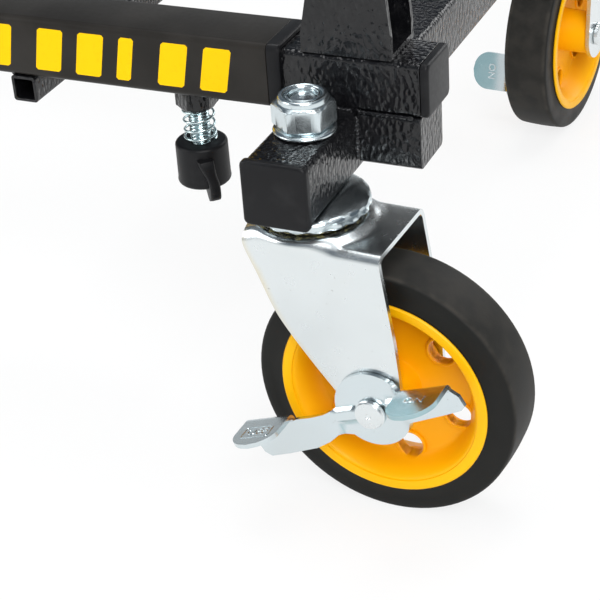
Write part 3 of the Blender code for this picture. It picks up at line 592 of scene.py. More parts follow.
# The lever's second tint is a dark blue-grey: painted shade in its creases and at its tongue ends.
LEVER_ZINC = ZincPlate(name="lever_zinc", colour=(0.66, 0.73, 0.755), tint_and_shade=(0.22, 0.42, 0.46),
                       roughness=0.24)
BRIGHT_WIRE = ZincPlate(name="bright_wire", colour=(0.64, 0.77, 0.79), tint_and_shade=(0.60, 0.66, 0.62),
                        roughness=0.24)
HAMMERED = HammeredPaint()
SATIN = PlainCoat("satin_paint", "satin_black", (0.014, 0.012, 0.010), (0.026, 0.023, 0.020),
                  cloud=40, cloud_edge=(0.35, 0.75), gloss=(0.30, 0.14), gloss_period=3,
                  specular=0.2, grain=1.3, grain_depth=0.03, grain_strength=0.6)
PLASTIC = PlainCoat("moulded_plastic", "black_plastic", (0.006, 0.006, 0.007),
                    (0.014, 0.014, 0.015), cloud=11, cloud_edge=(0.45, 0.85),
                    gloss=(0.33, 0.16), gloss_period=2.0, specular=0.22,
                    grain=0.45, grain_depth=0.02, grain_strength=0.7)
RUBBER = TyreRubber()
YELLOW = YellowPlastic()
MARKING = MarkingPaint()
GREASE = BearingGrease()


def put(name: str, data: bpy.types.ID) -> bpy.types.Object:
    """Put an object with its data in the scene.

    Args:
        name: The object's name.
        data: Its mesh, curve, camera or light.

    Returns:
        The object.
    """
    thing = bpy.data.objects.new(name, data)
    bpy.context.scene.collection.objects.link(thing)
    return thing


class Shape:
    """A mesh in the making, in millimetres."""

    def __init__(self) -> None:
        """Start with nothing."""
        self.mesh = bmesh.new()
        self.mesh.verts.layers.float.new("wear_and_painted_light")

    def skin(self, rings: Sequence[Sequence[Sequence[float]]], closed: bool = False) -> "Shape":
        """Add a skin through rings of equal count.

        Args:
            rings: The rings, each a loop of points.
            closed: Whether the last ring joins the first, in place of flat ends.

        Returns:
            This shape.
        """
        loops = [[self.mesh.verts.new(point) for point in ring] for ring in rings]
        count = len(loops[0])
        pairs = list(zip(loops, loops[1:])) + ([(loops[-1], loops[0])] if closed else [])
        for first, second in pairs:
            for i in range(count):
                j = (i + 1) % count
                self.mesh.faces.new((first[i], first[j], second[j], second[i]))
        if not closed:
            self.mesh.faces.new(loops[0])
            self.mesh.faces.new(loops[-1])
        return self

    def turn(self, profile: Sequence[Point], count: int, closed: bool = True,
             across: Optional[float] = None,
             wave: Optional[Callable[[float, int], float]] = None) -> "Shape":
        """Add a shape turned about Z.

        Args:
            profile: Its (radius, height) points.
            count: Facets round it.
            closed: Whether the profile is a loop.
            across: The size across flats that it is cut to as a hexagon.
            wave: What is added to the radius at an angle, on a numbered ring.

        Returns:
            This shape.
        """
        rings = []
        for number, (radius, height) in enumerate(profile):
            ring = []
            for i in range(count):
                angle = 2 * math.pi * i / count
                reach = radius + (wave(angle, number) if wave else 0.0)
                if across is not None:
                    turn = (angle + math.pi / 6) % (math.pi / 3) - math.pi / 6
                    reach = min(reach, across / 2 / math.cos(turn))
                ring.append((*polar(reach, angle), height))
            rings.append(ring)
        return self.skin(rings, closed)

    def prism(self, outline: Sequence[Point], low: float, high: float) -> "Shape":
        """Add an outline in XY, raised from low to high along Z."""
        return self.skin([[(x, y, z) for x, y in outline] for z in (low, high)])

    def tube(self, outer: Sequence[Point], inner: Sequence[Point], start: float,
             end: float) -> "Shape":
        """Add a tube along X, between an outline in YZ and its bore's, of as many points."""
        stations = ((start, outer), (end, outer), (end, inner), (start, inner))
        return self.skin(along_x(stations), True)

    def sweep(self, path: Sequence[Sequence[float]], radius: Union[float, Callable[[int], float]],
              count: int) -> "Shape":
        """Add a round bar along a path.

        Args:
            path: The points of its centre line.
            radius: Its radius, or the radius at each numbered point.
            count: Facets round it.

        Returns:
            This shape.
        """
        points = [Vector(p) for p in path]
        ahead = [(points[min(i + 1, len(points) - 1)] - points[max(i - 1, 0)]).normalized()
                 for i in range(len(points))]
        side = ahead[0].orthogonal().normalized()
        rings = []
        for i, (point, way) in enumerate(zip(points, ahead)):
            side = (side - way * side.dot(way)).normalized()
            other = way.cross(side)
            reach = radius(i) if callable(radius) else radius
            rings.append([point + (side * math.cos(2 * math.pi * k / count)
                                   + other * math.sin(2 * math.pi * k / count)) * reach
                          for k in range(count)])
        return self.skin(rings)

    def weld(self, start: Sequence[float], end: Sequence[float], size: float) -> "Shape":
        """Add a rippled weld bead.

        Args:
            start: Where the bead starts.
            end: Where it ends.
            size: Its radius.

        Returns:
            This shape.
        """
        first, last = Vector(start), Vector(end)
        steps = max(8, int((last - first).length / 0.7))
        path = [first.lerp(last, i / steps) for i in range(steps + 1)]

        def radius(i: int) -> float:
            """Ripple the bead, and thin its two ends."""
            return size * (1 + 0.13 * math.sin(i * 2.1) - 0.45 * (i in (0, steps)))

        return self.sweep(path, radius, 10)

    def move(self, matrix: Matrix) -> "Shape":
        """Move or turn everything made so far."""
        bmesh.ops.transform(self.mesh, matrix=matrix, verts=self.mesh.verts)
        return self

    def bend(self, law: Callable[[Vector], Vector]) -> "Shape":
        """Move each point by a law.

        Args:
            law: Gives each point's new place.

        Returns:
            This shape.
        """
        for vert in self.mesh.verts:
            vert.co = law(vert.co)
        return self

    def mark(self, law: Callable[[Vector], float]) -> "Shape":
        """Leave the mark that the finishes read on each point, for wear and dust and for painted
        shade and highlight.

        Args:
            law: Gives the mark, 0 to 1, at a point.

        Returns:
            This shape.
        """
        layer = self.mesh.verts.layers.float["wear_and_painted_light"]
        for vert in self.mesh.verts:
            vert[layer] = law(vert.co)
        return self

    def add(self, other: "Shape") -> "Shape":
        """Take another shape in, as a separate shell.

        Args:
            other: The other shape, which is used up.

        Returns:
            This shape.
        """
        mesh = other.to_mesh("joined")
        self.mesh.from_mesh(mesh)
        bpy.data.meshes.remove(mesh)
        return self

    def to_mesh(self, name: str) -> bpy.types.Mesh:
        """Turn the shape into a Blender mesh, with its faces pointing out.

        Args:
            name: The mesh's name.

        Returns:
            The mesh. The shape itself is used up.
        """
        bmesh.ops.recalc_face_normals(self.mesh, faces=self.mesh.faces)
        mesh = bpy.data.meshes.new(name)
        self.mesh.to_mesh(mesh)
        self.mesh.free()
        return mesh

    def take(self, helper: bpy.types.Object) -> "Shape":
        """Take in a helper object's finished mesh, and remove the helper.

        Args:
            helper: An object with a mesh, a curve or modifiers.

        Returns:
            This shape.
        """
        graph = bpy.context.evaluated_depsgraph_get()
        made = bpy.data.meshes.new_from_object(helper.evaluated_get(graph))
        self.mesh.from_mesh(made)
        bpy.data.meshes.remove(made)
        bpy.data.objects.remove(helper, do_unlink=True)
        return self

    def through_modifier(self, kind: str, **settings: Any) -> "Shape":
        """Run the shape through one modifier.

        Args:
            kind: The modifier's type.
            settings: Its properties.

        Returns:
            This shape, changed.
        """
        helper = put("helper", self.to_mesh("helper"))
        modifier = helper.modifiers.new("step", kind)
        for key, value in settings.items():
            setattr(modifier, key, value)
        self.mesh = bmesh.new()
        self.take(helper)
        if "wear_and_painted_light" not in self.mesh.verts.layers.float.keys():
            self.mesh.verts.layers.float.new("wear_and_painted_light")
        return self

    def combine(self, other: "Shape", operation: str = "DIFFERENCE") -> "Shape":
        """Cut, join or intersect with another shape.

        Args:
            other: The other shape, which is used up.
            operation: The Boolean's operation.

        Returns:
            This shape.
        """
        tool = put("tool", other.to_mesh("tool"))
        self.through_modifier("BOOLEAN", operation=operation, object=tool, solver="EXACT")
        bpy.data.objects.remove(tool, do_unlink=True)
        return self

    def place(self, name: str, finish: Finish, node: str, replaces: bool = True,
              bevel: float = 0.0, steps: int = 2, matrix: Optional[Matrix] = None) -> None:
        """Put the shape in the scene as a piece.

        Args:
            name: The piece's name.
            finish: Its finish.
            node: The CAD node whose body it rides.
            replaces: Whether it stands for that node.
            bevel: The width of its rounded edges.
            steps: Facets across each rounded edge.
            matrix: Where it goes, in millimetres.
        """
        if matrix is not None:
            self.move(matrix)
        self.move(Matrix.Scale(MM, 4))
        mesh = self.to_mesh(name)
        mesh.materials.append(finish.material())
        mesh.shade_smooth()
        mesh.set_sharp_from_angle(angle=math.radians(SHARP_ANGLE))
        piece = put(name, mesh)
        if bevel:
            round_edges(piece, bevel, steps)
        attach(piece, bpy.data.objects[node]["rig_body"])
        if replaces:
            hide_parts(node)
        LOG.info("%s stands on %s", name, node)


def pin(radius: float, low: float, high: float, facets: int = 40) -> Shape:
    """Make a plain round pin about Z, to bore a hole with."""
    return Shape().turn([(radius, low), (radius, high)], facets, False)


def round_edges(piece: bpy.types.Object, width: float, steps: int = 2) -> None:
    """Round a piece's sharp edges.

    Args:
        piece: The piece.
        width: The rounding's width in millimetres.
        steps: Facets across it.
    """
    modifier = piece.modifiers.new("rounded_edges", "BEVEL")
    modifier.width = width * MM
    modifier.segments = steps
    modifier.limit_method = "ANGLE"
    modifier.angle_limit = math.radians(BEVEL_ANGLE)
    modifier.harden_normals = True


def turned(degrees: float, axis: str = "Z") -> Matrix:
    """Turn a shape about an axis."""
    return Matrix.Rotation(math.radians(degrees), 4, axis)


def along_y(sign: int = 1) -> Matrix:
    """Turn a shape made about Z so that it runs along Y."""
    return turned(-90 * sign, "X")


def at(x: float, y: float, z: float) -> Matrix:
    """Move a shape to a place."""
    return Matrix.Translation((x, y, z))


def spread(low: float, high: float, count: int) -> List[float]:
    """Divide a span evenly, both ends included."""
    return [low + (high - low) * i / (count - 1) for i in range(count)]


@dataclass(frozen=True)
class Block:
    """A CAD node's box, in millimetres."""

    low: Vector
    high: Vector

    @classmethod
    def of(cls, node: str) -> "Block":
        """Read a node's box."""
        low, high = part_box(node)
        return cls(low / MM, high / MM)

    @property
    def centre(self) -> Vector:
        """Its middle."""
        return (self.low + self.high) / 2

    @property
    def size(self) -> Vector:
        """Its size along each axis."""
        return self.high - self.low


def thread(radius: float, depth: float, pitch: float, low: float, high: float) -> Shape:
    """Make a threaded rod about Z.

    Args:
        radius: Its radius over the crests.
        depth: How deep the thread is cut.
        pitch: Its rise in a turn.
        low: Where it starts.
        high: Where it ends.

    Returns:
        The rod.
    """
    steps = max(6, int((high - low) / (pitch / 6)))
    heights = spread(low, high, steps + 1)

    def crest(angle: float, number: int) -> float:
        """Raise the thread over its root, less so near the rod's ends.

        Args:
            angle: Where round the rod.
            number: At which of its heights.

        Returns:
            The thread's height over its root.
        """
        height = heights[number]
        phase = (height / pitch - angle / (2 * math.pi)) % 1.0
        edge = smoothstep(min(height - low, high - height), 0.0, 1.0)
        return depth * (1 - abs(2 * phase - 1)) * edge

    root = radius - depth
    return Shape().turn([(root, height) for height in heights], 32, False, wave=crest)


@dataclass
class Layout:
    """The cart's main lines, in millimetres."""

    stem_x: float = 336.686
    stem_y: float = 223.0
    stem_bore: float = 6.8
    rail_y: float = 186.4
    outer_face_y: float = 203.0
    beam_bottom: float = 156.0
    beam_top: float = 185.0
    beam_half: float = 14.5
    clamp_x: float = 265.386

    def stem(self, side: Side) -> Matrix:
        """Give the place of a caster's stem on the floor."""
        return at(self.stem_x, side.sign * self.stem_y, 0)

    def clamp(self, side: Side) -> Matrix:
        """Give the place of a rail clamp on the floor."""
        return at(self.clamp_x, side.sign * self.rail_y, 0)


@dataclass
class SquareTubes:
    """The rails, the cross tube, the caster beam and the axle tube, with their plugs and welds."""

    layout: Layout
    outer_wall: float = 1.5
    inner_wall: float = 2.0
    corner: float = 2.6
    outer_corner: float = 3.0
    lip: float = 4.0
    lip_round: float = 1.6
    clamp_bore: float = 5.4
    collar_bore: Point = (28.6, 25.6)
    collar_lip: float = 6.0
    nose_end: float = 378.0

    def tube(self, node: str, finish: Finish, wall: float, corner: float, along: str = "X",
             hole: Optional[Shape] = None) -> None:
        """Replace a square tube of the CAD by a finer one.

        Args:
            node: The CAD node.
            finish: Its finish.
            wall: The tube's wall.
            corner: The radius of its long edges.
            along: The axis that it runs along.
            hole: A shape to cut from it.
        """
        block = Block.of(node)
        size = block.size
        width, length = (size.y, size.x) if along == "X" else (size.x, size.y)
        outer = rounded(width, size.z, corner)
        inner = rounded(width - 2 * wall, size.z - 2 * wall, max(0.6, corner - wall))
        shape = Shape().tube(outer, inner, -length / 2, length / 2)
        shape.move(Matrix.Translation(block.centre) @ turned(0 if along == "X" else 90))
        if hole is not None:
            shape.combine(hole)
        shape.place(f"{node}_tube", finish, node, bevel=0.35)

    def plug(self, node: str, turn: float, wall: float, domed: float, proud: float = 0.0) -> None:
        """Replace a tube's end plug by one with a domed, soft-edged lip.

        Args:
            node: The CAD node.
            turn: How far its face is turned from +X, in degrees.
            wall: The tube's wall.
            domed: How much smaller the face is than the lip.
            proud: How far the lip stands out past the tube's sides.
        """
        block = Block.of(node)
        size = block.size
        width, depth = (size.y, size.x) if turn % 180 == 0 else (size.x, size.y)

        def lip(shrink: float) -> List[Point]:
            """Outline the lip, made smaller on all sides."""
            return rounded(width - 2 * shrink, size.z - 2 * shrink, self.corner)

        inside = 2 * wall + 0.6
        foot = rounded(width - inside, size.z - inside, 1.0)
        stations = [(self.lip - depth, foot), (0.3, foot), (0.3, lip(-proud))]
        for lean in spread(0, math.pi / 2, 7):
            x = self.lip - self.lip_round + self.lip_round * math.sin(lean)
            stations.append((x, lip(domed * (1 - math.cos(lean)) - proud)))
        face = turned(turn)
        shift = face @ Vector((depth / 2 - self.lip, 0, 0))
        Shape().skin(along_x(stations)).place(
            f"{node}_plug", PLASTIC, node, bevel=0.3,
            matrix=Matrix.Translation(block.centre + shift) @ face)

    def collar(self, side: Side) -> None:
        """Replace a guide collar in an outer rail's front end.

        Args:
            side: Which side of the cart it is on.
        """
        node = f"rail_collar_{side.value}"
        block = Block.of(node)
        size, start, end = block.size, block.low.x, block.high.x
        lip = end - self.collar_lip
        wide, tall = self.collar_bore
        bore = rounded(wide, tall, 2.5)
        sleeve = rounded(wide + 1, tall + 1, 2.5)
        full = rounded(size.y, size.z, 3.0)
        soft = rounded(size.y - 1.2, size.z - 1.2, 2.6)
        stations = ((end, bore), (end, soft), (end - 0.8, full), (lip, full), (lip, sleeve),
                    (start, sleeve), (start, bore))
        rings = along_x(stations, block.centre.y, block.centre.z)
        Shape().skin(rings, True).place(f"{node}_guide", PLASTIC, node)

    def nose_block(self, side: Side) -> None:
        """Replace the short closed block in front of the beam.

        Args:
            side: Which side of the cart it is on.
        """
        node = f"nose_block_{side.value}"
        block = Block.of(node)
        size, start, end = block.size, block.low.x, block.high.x
        outline = rounded(size.y, size.z, self.corner)
        hollow = rounded(size.y - 5, size.z - 5, 1.0)
        stations = ((end - 2.5, hollow), (start, hollow), (start, outline), (end, outline))
        rings = along_x(stations, block.centre.y, block.centre.z)
        Shape().skin(rings).place(f"{node}_shell", HAMMERED, node, bevel=0.5)

    def front_welds(self) -> None:
        """Add the weld beads between the inner rails, the beam and the nose blocks."""
        beads = Shape()
        lay = self.layout
        top = lay.beam_top
        back, front = lay.stem_x - lay.beam_half, lay.stem_x + lay.beam_half
        for side in Side:
            y = side.sign * lay.rail_y
            for x in (back, front):
                beads.weld((x, y - 13, top + 0.4), (x, y + 13, top + 0.4), 1.7)
            for edge in (y - 14, y + 14):
                beads.weld((front, edge, 162), (front, edge, 183), 1.5)
                beads.weld((front + 1, edge, top + 0.1), (self.nose_end, edge, top + 0.1), 1.0)
                beads.weld((back + 1, edge, top + 0.3), (front - 1, edge, top + 0.3), 1.5)
        beads.place("front_welds", HAMMERED, "caster_beam", replaces=False)

    def rear_welds(self) -> None:
        """Add the weld beads under the outer rails, at the cross tube and the axle plates."""
        beads = Shape()
        lay = self.layout
        cross = Block.of("cross_tube")
        top = cross.high.z + 0.1
        for side in Side:
            y = side.sign * lay.rail_y
            for x in (cross.low.x, cross.high.x):
                beads.weld((x, y - 14, top), (x, y + 14, top), 1.3)
            plate = Block.of(f"axle_plate_{side.value}")
            start, end, height = plate.low.x + 2, plate.high.x - 2, plate.high.z
            for edge in (plate.low.y, plate.high.y):
                inward = edge if abs(edge) < lay.outer_face_y - 1 else edge - side.sign * 0.9
                beads.weld((start, inward, height), (end, inward, height), 1.2)
        beads.place("rear_welds", HAMMERED, "cross_tube", replaces=False)

    def build(self) -> None:
        """Dress every tube, plug and weld, and print the rails' markings."""
        lay = self.layout
        for side in Side:
            s = side.value
            bore = pin(self.clamp_bore, 178, 190, 32).move(lay.clamp(side))
            self.tube(f"outer_rail_{s}", SATIN, self.outer_wall, self.outer_corner, hole=bore)
            self.tube(f"inner_rail_{s}", HAMMERED, self.inner_wall, self.corner)
            self.plug(f"rail_end_cap_{s}", 180, self.outer_wall, 1.3)
            self.plug(f"nose_cap_{s}", 0, self.inner_wall, 1.5)
            self.plug(f"beam_cap_{s}", side.sign * 90, self.inner_wall, 1.3, 0.8)
            self.collar(side)
            self.nose_block(side)
            RailMarking(lay, side).build()
        self.tube("cross_tube", HAMMERED, 1.5, 1.5, "Y")
        stems = Shape()
        for side in Side:
            stems.add(pin(lay.stem_bore, 150, 190, 32).move(lay.stem(side)))
        self.tube("caster_beam", HAMMERED, self.inner_wall, self.corner, "Y", hole=stems)
        self.tube("axle_tube", HAMMERED, self.inner_wall, self.corner, "Y")
        self.front_welds()
        self.rear_welds()


@dataclass
class RailMarking:
    """A run of slanted yellow bars on an outer rail's outer side; every third one is narrow."""

    layout: Layout
    side: Side
    start: float = 40.0
    pitch: float = 21.5
    bars: int = 12
    wide: float = 13.5
    narrow: float = 7.5
    low: float = 187.4
    high: float = 208.6
    slant: float = 4.0
    corner: float = 1.1
    sunk: float = 0.05
    raised: float = 0.06

    def bar(self, x: float, width: float) -> List[Point]:
        """Outline one bar in XZ, with its corners cut.

        Args:
            x: Where its foot starts.
            width: How wide it is.

        Returns:
            The outline.
        """
        slant = self.slant
        outline = [(x, self.low), (x + width, self.low), (x + width + slant, self.high),
                   (x + slant, self.high)]
        soft = []
        for i, corner in enumerate(outline):
            here = Vector(corner)
            for near in (Vector(outline[i - 1]), Vector(outline[(i + 1) % 4])):
                soft.append(tuple(here + (near - here).normalized() * self.corner))
        return soft

    def build(self) -> None:
        """Print the bars."""
        marks = Shape()
        face = self.layout.outer_face_y
        for number in range(self.bars):
            width = self.wide if number % 3 else self.narrow
            outline = self.bar(self.start + number * self.pitch, width)
            marks.skin([[(a, self.side.sign * y, b) for a, b in outline]
                        for y in (face - self.sunk, face + self.raised)])
        s = self.side.value
        marks.place(f"rail_marking_{s}", MARKING, f"outer_rail_{s}", replaces=False)


@dataclass
class WingKnob:
    """A moulded wing knob, hanging down -Z from its top."""

    top: float = 12.5
    base: float = 12.8
    height: float = 21.1
    bore: float = 5.3
    reach: float = 16.5
    thickness: float = 7.2
    taper: float = 0.28
    wing_top: float = 5.0
    wing_below: float = 5.7
    tip: float = 4.2
    lean: float = 2.4
    yaw: float = -47.0

    def wing(self, sign: int) -> Shape:
        """Make one wing: a leaning wedge head over a blade with a rounded lower end.

        Args:
            sign: Which way it points.

        Returns:
            The wing, before it is turned.
        """
        bottom = self.height + self.wing_below
        inside = self.top * 0.45
        slope = ((self.height + 0.6, inside), (bottom - 2.4, inside + 3.0))
        rings = []
        for deep in spread(self.wing_top, bottom, 24):
            past = max(0.0, deep - bottom + self.tip)
            chord = max(0.5, math.sqrt(max(0.0, self.tip ** 2 - past ** 2)))
            brow = 2.2 * (1 - smoothstep(deep, self.wing_top - 3, self.wing_top + 4))
            outer = self.reach - self.tip + chord - brow
            inner = inside if deep < slope[0][0] else through(slope, deep)
            if deep > slope[1][0]:
                inner = self.reach - self.tip - chord
            thinner = self.taper * smoothstep(deep, self.wing_top + 0.5, self.wing_top + 9)
            thick = self.thickness * (1 - thinner)
            lean = -self.lean * (1 - 1.2 * smoothstep(deep, self.wing_top, self.wing_top + 15))
            soft = min(1.1, (outer - inner) / 2 - 0.1, thick / 2 - 0.1)
            middle = (inner + outer) / 2
            rings.append([(sign * (middle + x), sign * (lean + y), -deep)
                          for x, y in rounded(outer - inner, thick, soft, 4)])
        return Shape().skin(rings)

    def shape(self) -> Shape:
        """Make the whole knob: a drum with a soft rim and a collar, and two wings.

        Returns:
            The knob, with its top at 0.
        """
        foot = -self.height
        brim, heel = 1.6, 1.8
        profile = [(self.bore, foot * 0.7), (self.bore, -0.2), (self.bore + 1.2, 0.0),
                   (self.top - brim, 0.0)]
        profile += [(self.top - brim + brim * math.sin(a), brim * math.cos(a) - brim)
                    for a in spread(0.25, math.pi / 2, 5)]
        profile += [(self.base - 0.2, foot + 3.4), (self.base, foot + heel)]
        profile += [(self.base - heel + heel * math.cos(a), foot + heel - heel * math.sin(a))
                    for a in spread(0.3, math.pi / 2, 5)]
        knob = Shape().turn(profile, 64, False)
        for sign in (1, -1):
            knob.combine(self.wing(sign).move(turned(self.yaw)), "UNION")
        return knob


@dataclass
class RailClamp:
    """The clamp under an outer rail: weld nut, threaded screw, spring and wing knob."""

    layout: Layout
    side: Side
    knob: WingKnob = field(default_factory=WingKnob)
    across: float = 17.6
    bore: float = 5.3
    screw_radius: float = 5.0
    screw_pitch: float = 1.5
    wire: float = 1.2
    coil: float = 7.4
    turns: float = 3.75
    close_pitch: float = 2.2

    def spring(self, low: float, high: float) -> Shape:
        """Wind the spring, closer at its foot.

        Args:
            low: Its lowest height.
            high: Its highest.

        Returns:
            The spring about Z.
        """
        pitch = (high - low - self.wire - self.close_pitch) / (self.turns - 1)
        path = []
        for i in range(int(self.turns * 40) + 1):
            turn = i / 40
            angle = 2 * math.pi * turn
            radius = self.coil - 0.2 * min(1.0, max(0.0, turn - 0.5))
            climb = self.close_pitch * min(turn, 1.0) + pitch * max(0.0, turn - 1.0)
            path.append((*polar(radius, angle), low + self.wire / 2 + climb))
        return Shape().sweep(path, self.wire / 2, 12)

    def nut(self, low: float, high: float) -> Shape:
        """Make the weld nut, chamfered at both ends.

        Args:
            low: Its lowest height.
            high: Its highest.

        Returns:
            The nut about Z.
        """
        wide, corner = self.across, self.across / 2 / math.cos(math.pi / 6)
        profile = [(self.bore, low + 0.8), (6.0, low), (wide * 0.46, low), (corner, low + 1.5),
                   (corner, high - 1.2), (wide * 0.49, high), (self.bore, high)]
        return Shape().turn(profile, 72, True, wide)

    def build(self) -> None:
        """Dress the clamp."""
        s = self.side.value
        place = self.layout.clamp(self.side)
        nut, screw, spring, knob = (Block.of(f"{name}_{s}") for name in
                                    ("weld_nut", "clamp_screw", "clamp_spring", "clamp_knob"))
        self.nut(nut.low.z, nut.high.z).place(
            f"weld_nut_{s}_hex", HAMMERED, f"weld_nut_{s}", bevel=0.3, matrix=place)
        thread(self.screw_radius, 0.75, self.screw_pitch, screw.low.z, screw.high.z).place(
            f"clamp_screw_{s}_rod", BRIGHT_WIRE, f"clamp_screw_{s}", matrix=place)
        self.spring(spring.low.z, spring.high.z).place(
            f"clamp_spring_{s}_coil", BRIGHT_WIRE, f"clamp_spring_{s}", matrix=place)
        self.knob.shape().place(f"clamp_knob_{s}_body", PLASTIC, f"clamp_knob_{s}", bevel=0.9,
                                steps=3, matrix=place @ at(0, 0, knob.high.z))


@dataclass
class CasterStem:
    """What holds a caster under the beam: kingpin, lock nut, crimped dish and ball race."""

    layout: Layout
    side: Side
    across: float = 24.5
    nut_height: float = 17.3
    nut_yaw: float = 52.0
    dish_radius: float = 28.0
    lobes: int = 18
    ball: float = 2.1
    balls: int = 22
    race_radius: float = 23.4
    race_height: float = 148.4
    pin_radius: float = 6.4
    head_radius: float = 11.0
    pin_top: float = 200.2
    pin_pitch: float = 1.75

    def nut(self) -> Shape:
        """Make the lock nut: washer flange, chamfered hexagon and rolled nylon collar.

        Returns:
            The nut about Z, standing on 0.
        """
        wide, tall = self.across, self.nut_height
        corner = wide / 2 / math.cos(math.pi / 6)
        flange = [(6.7, 0), (13.3, 0), (14.0, 0.5), (14.1, 1.2), (13.6, 1.9), (12.6, 2.2),
                  (11.2, 2.3), (6.7, 2.5)]
        body = [(6.7, 2.3), (wide / 2 - 1.1, 2.3), (wide / 2 - 0.5, 2.8), (corner, 4.0),
                (corner, tall - 4.9), (corner - 0.6, tall - 4.1), (wide / 2 - 0.2, tall - 3.3),
                (wide / 2 - 0.9, tall - 2.9), (6.7, tall - 2.8)]
        roll = [(wide * 0.455, tall - 3.0), (wide * 0.45, tall - 1.9)]
        roll += [(wide * 0.45 - 1.4 + 1.4 * math.cos(a), tall - 1.5 + 1.4 * math.sin(a))
                 for a in spread(0.1, math.pi * 0.9, 7)]
        roll += [(8.25, tall - 2.1), (7.95, tall - 2.1), (7.8, tall - 0.8), (7.35, tall - 0.35),
                 (6.85, tall - 0.4), (6.5, tall - 1.0), (6.5, tall - 3.0)]
        hexagon = Shape().turn(body, 72, True, wide)
        return hexagon.add(Shape().turn(flange, 72)).add(Shape().turn(roll, 72))

    def dish(self) -> Shape:
        """Make the bearing dish, crimped in lobes round its skirt.

        Returns:
            The dish about Z, at its own height.
        """
        r, top = self.dish_radius, self.layout.beam_bottom - 0.3
        bore = self.layout.stem_bore
        skirt = ((0.50, 0), (0.58, 0.15), (0.74, 0.9), (0.90, 1.9), (0.955, 2.6), (0.975, 3.6),
                 (0.965, 4.9), (0.975, 6.2), (0.955, 7.2))
        outer = [(bore, top)] + [(r * share, top - drop) for share, drop in skirt]
        inner = [(radius - 1.3, min(height - 0.9, top - 1.5)) for radius, height in outer[2:-1]]
        count = len(outer)

        def lobe(angle: float, number: int) -> float:
            """Swell the skirt between the crimps.

            Args:
                angle: Where round the dish.
                number: Which ring of the profile.

            Returns:
                What is added to the radius.
            """
            low = smoothstep(number, 5, count - 1)
            if number >= count:
                low = smoothstep(2 * count - 3 - number, 4, 8)
            return 0.62 * low * math.cos(self.lobes * angle) - 0.25 * low

        return Shape().turn(outer + inner[::-1] + [(bore, top - 1.5)], 144, True, wave=lobe)

    def race(self) -> Shape:
        """Make the ring of balls in their grease.

        Returns:
            The ring about Z, at its own height.
        """
        ring = Shape().turn([(18.5, 146.6), (24.0, 146.5), (24.4, 147.6), (24.0, 149.3),
                             (18.5, 149.3)], 72)
        ball = [(self.ball * math.sin(a) + 1e-4, self.ball * math.cos(a))
                for a in spread(0, math.pi, 9)]
        for i in range(self.balls):
            x, y = polar(self.race_radius, 2 * math.pi * i / self.balls)
            ring.add(Shape().turn(ball, 14, False).move(at(x, y, self.race_height)))
        return ring

    def kingpin(self, low: float, high: float) -> Shape:
        """Make the kingpin, with a thread above the nut.

        Args:
            low: Its lowest height.
            high: Its highest.

        Returns:
            The kingpin about Z.
        """
        neck = 190.0
        profile = [(8.8, low), (self.head_radius, low + 2.2), (self.head_radius, low + 5.5),
                   (self.pin_radius, low + 5.5), (self.pin_radius, neck)]
        rod = thread(self.pin_radius, 0.9, self.pin_pitch, neck, min(high + 0.6, self.pin_top))
        return Shape().turn(profile, 48, False).add(rod)

    def build(self) -> None:
        """Dress the stem."""
        s = self.side.value
        place = self.layout.stem(self.side)
        block = Block.of(f"kingpin_{s}")
        self.kingpin(block.low.z, block.high.z).place(f"kingpin_{s}_stud", ZINC, f"kingpin_{s}",
                                                      bevel=0.3, matrix=place)
        seat = place @ at(0, 0, self.layout.beam_top + 0.3)
        self.nut().place(f"stem_nut_{s}_lock", LEVER_ZINC, f"stem_nut_{s}", bevel=0.25,
                         matrix=seat @ turned(self.nut_yaw))
        dish = f"bearing_dish_{s}"
        self.dish().place(f"{dish}_crimped", LEVER_ZINC, dish, matrix=place)
        self.race().place(f"ball_race_{s}", GREASE, dish, replaces=False, matrix=place)


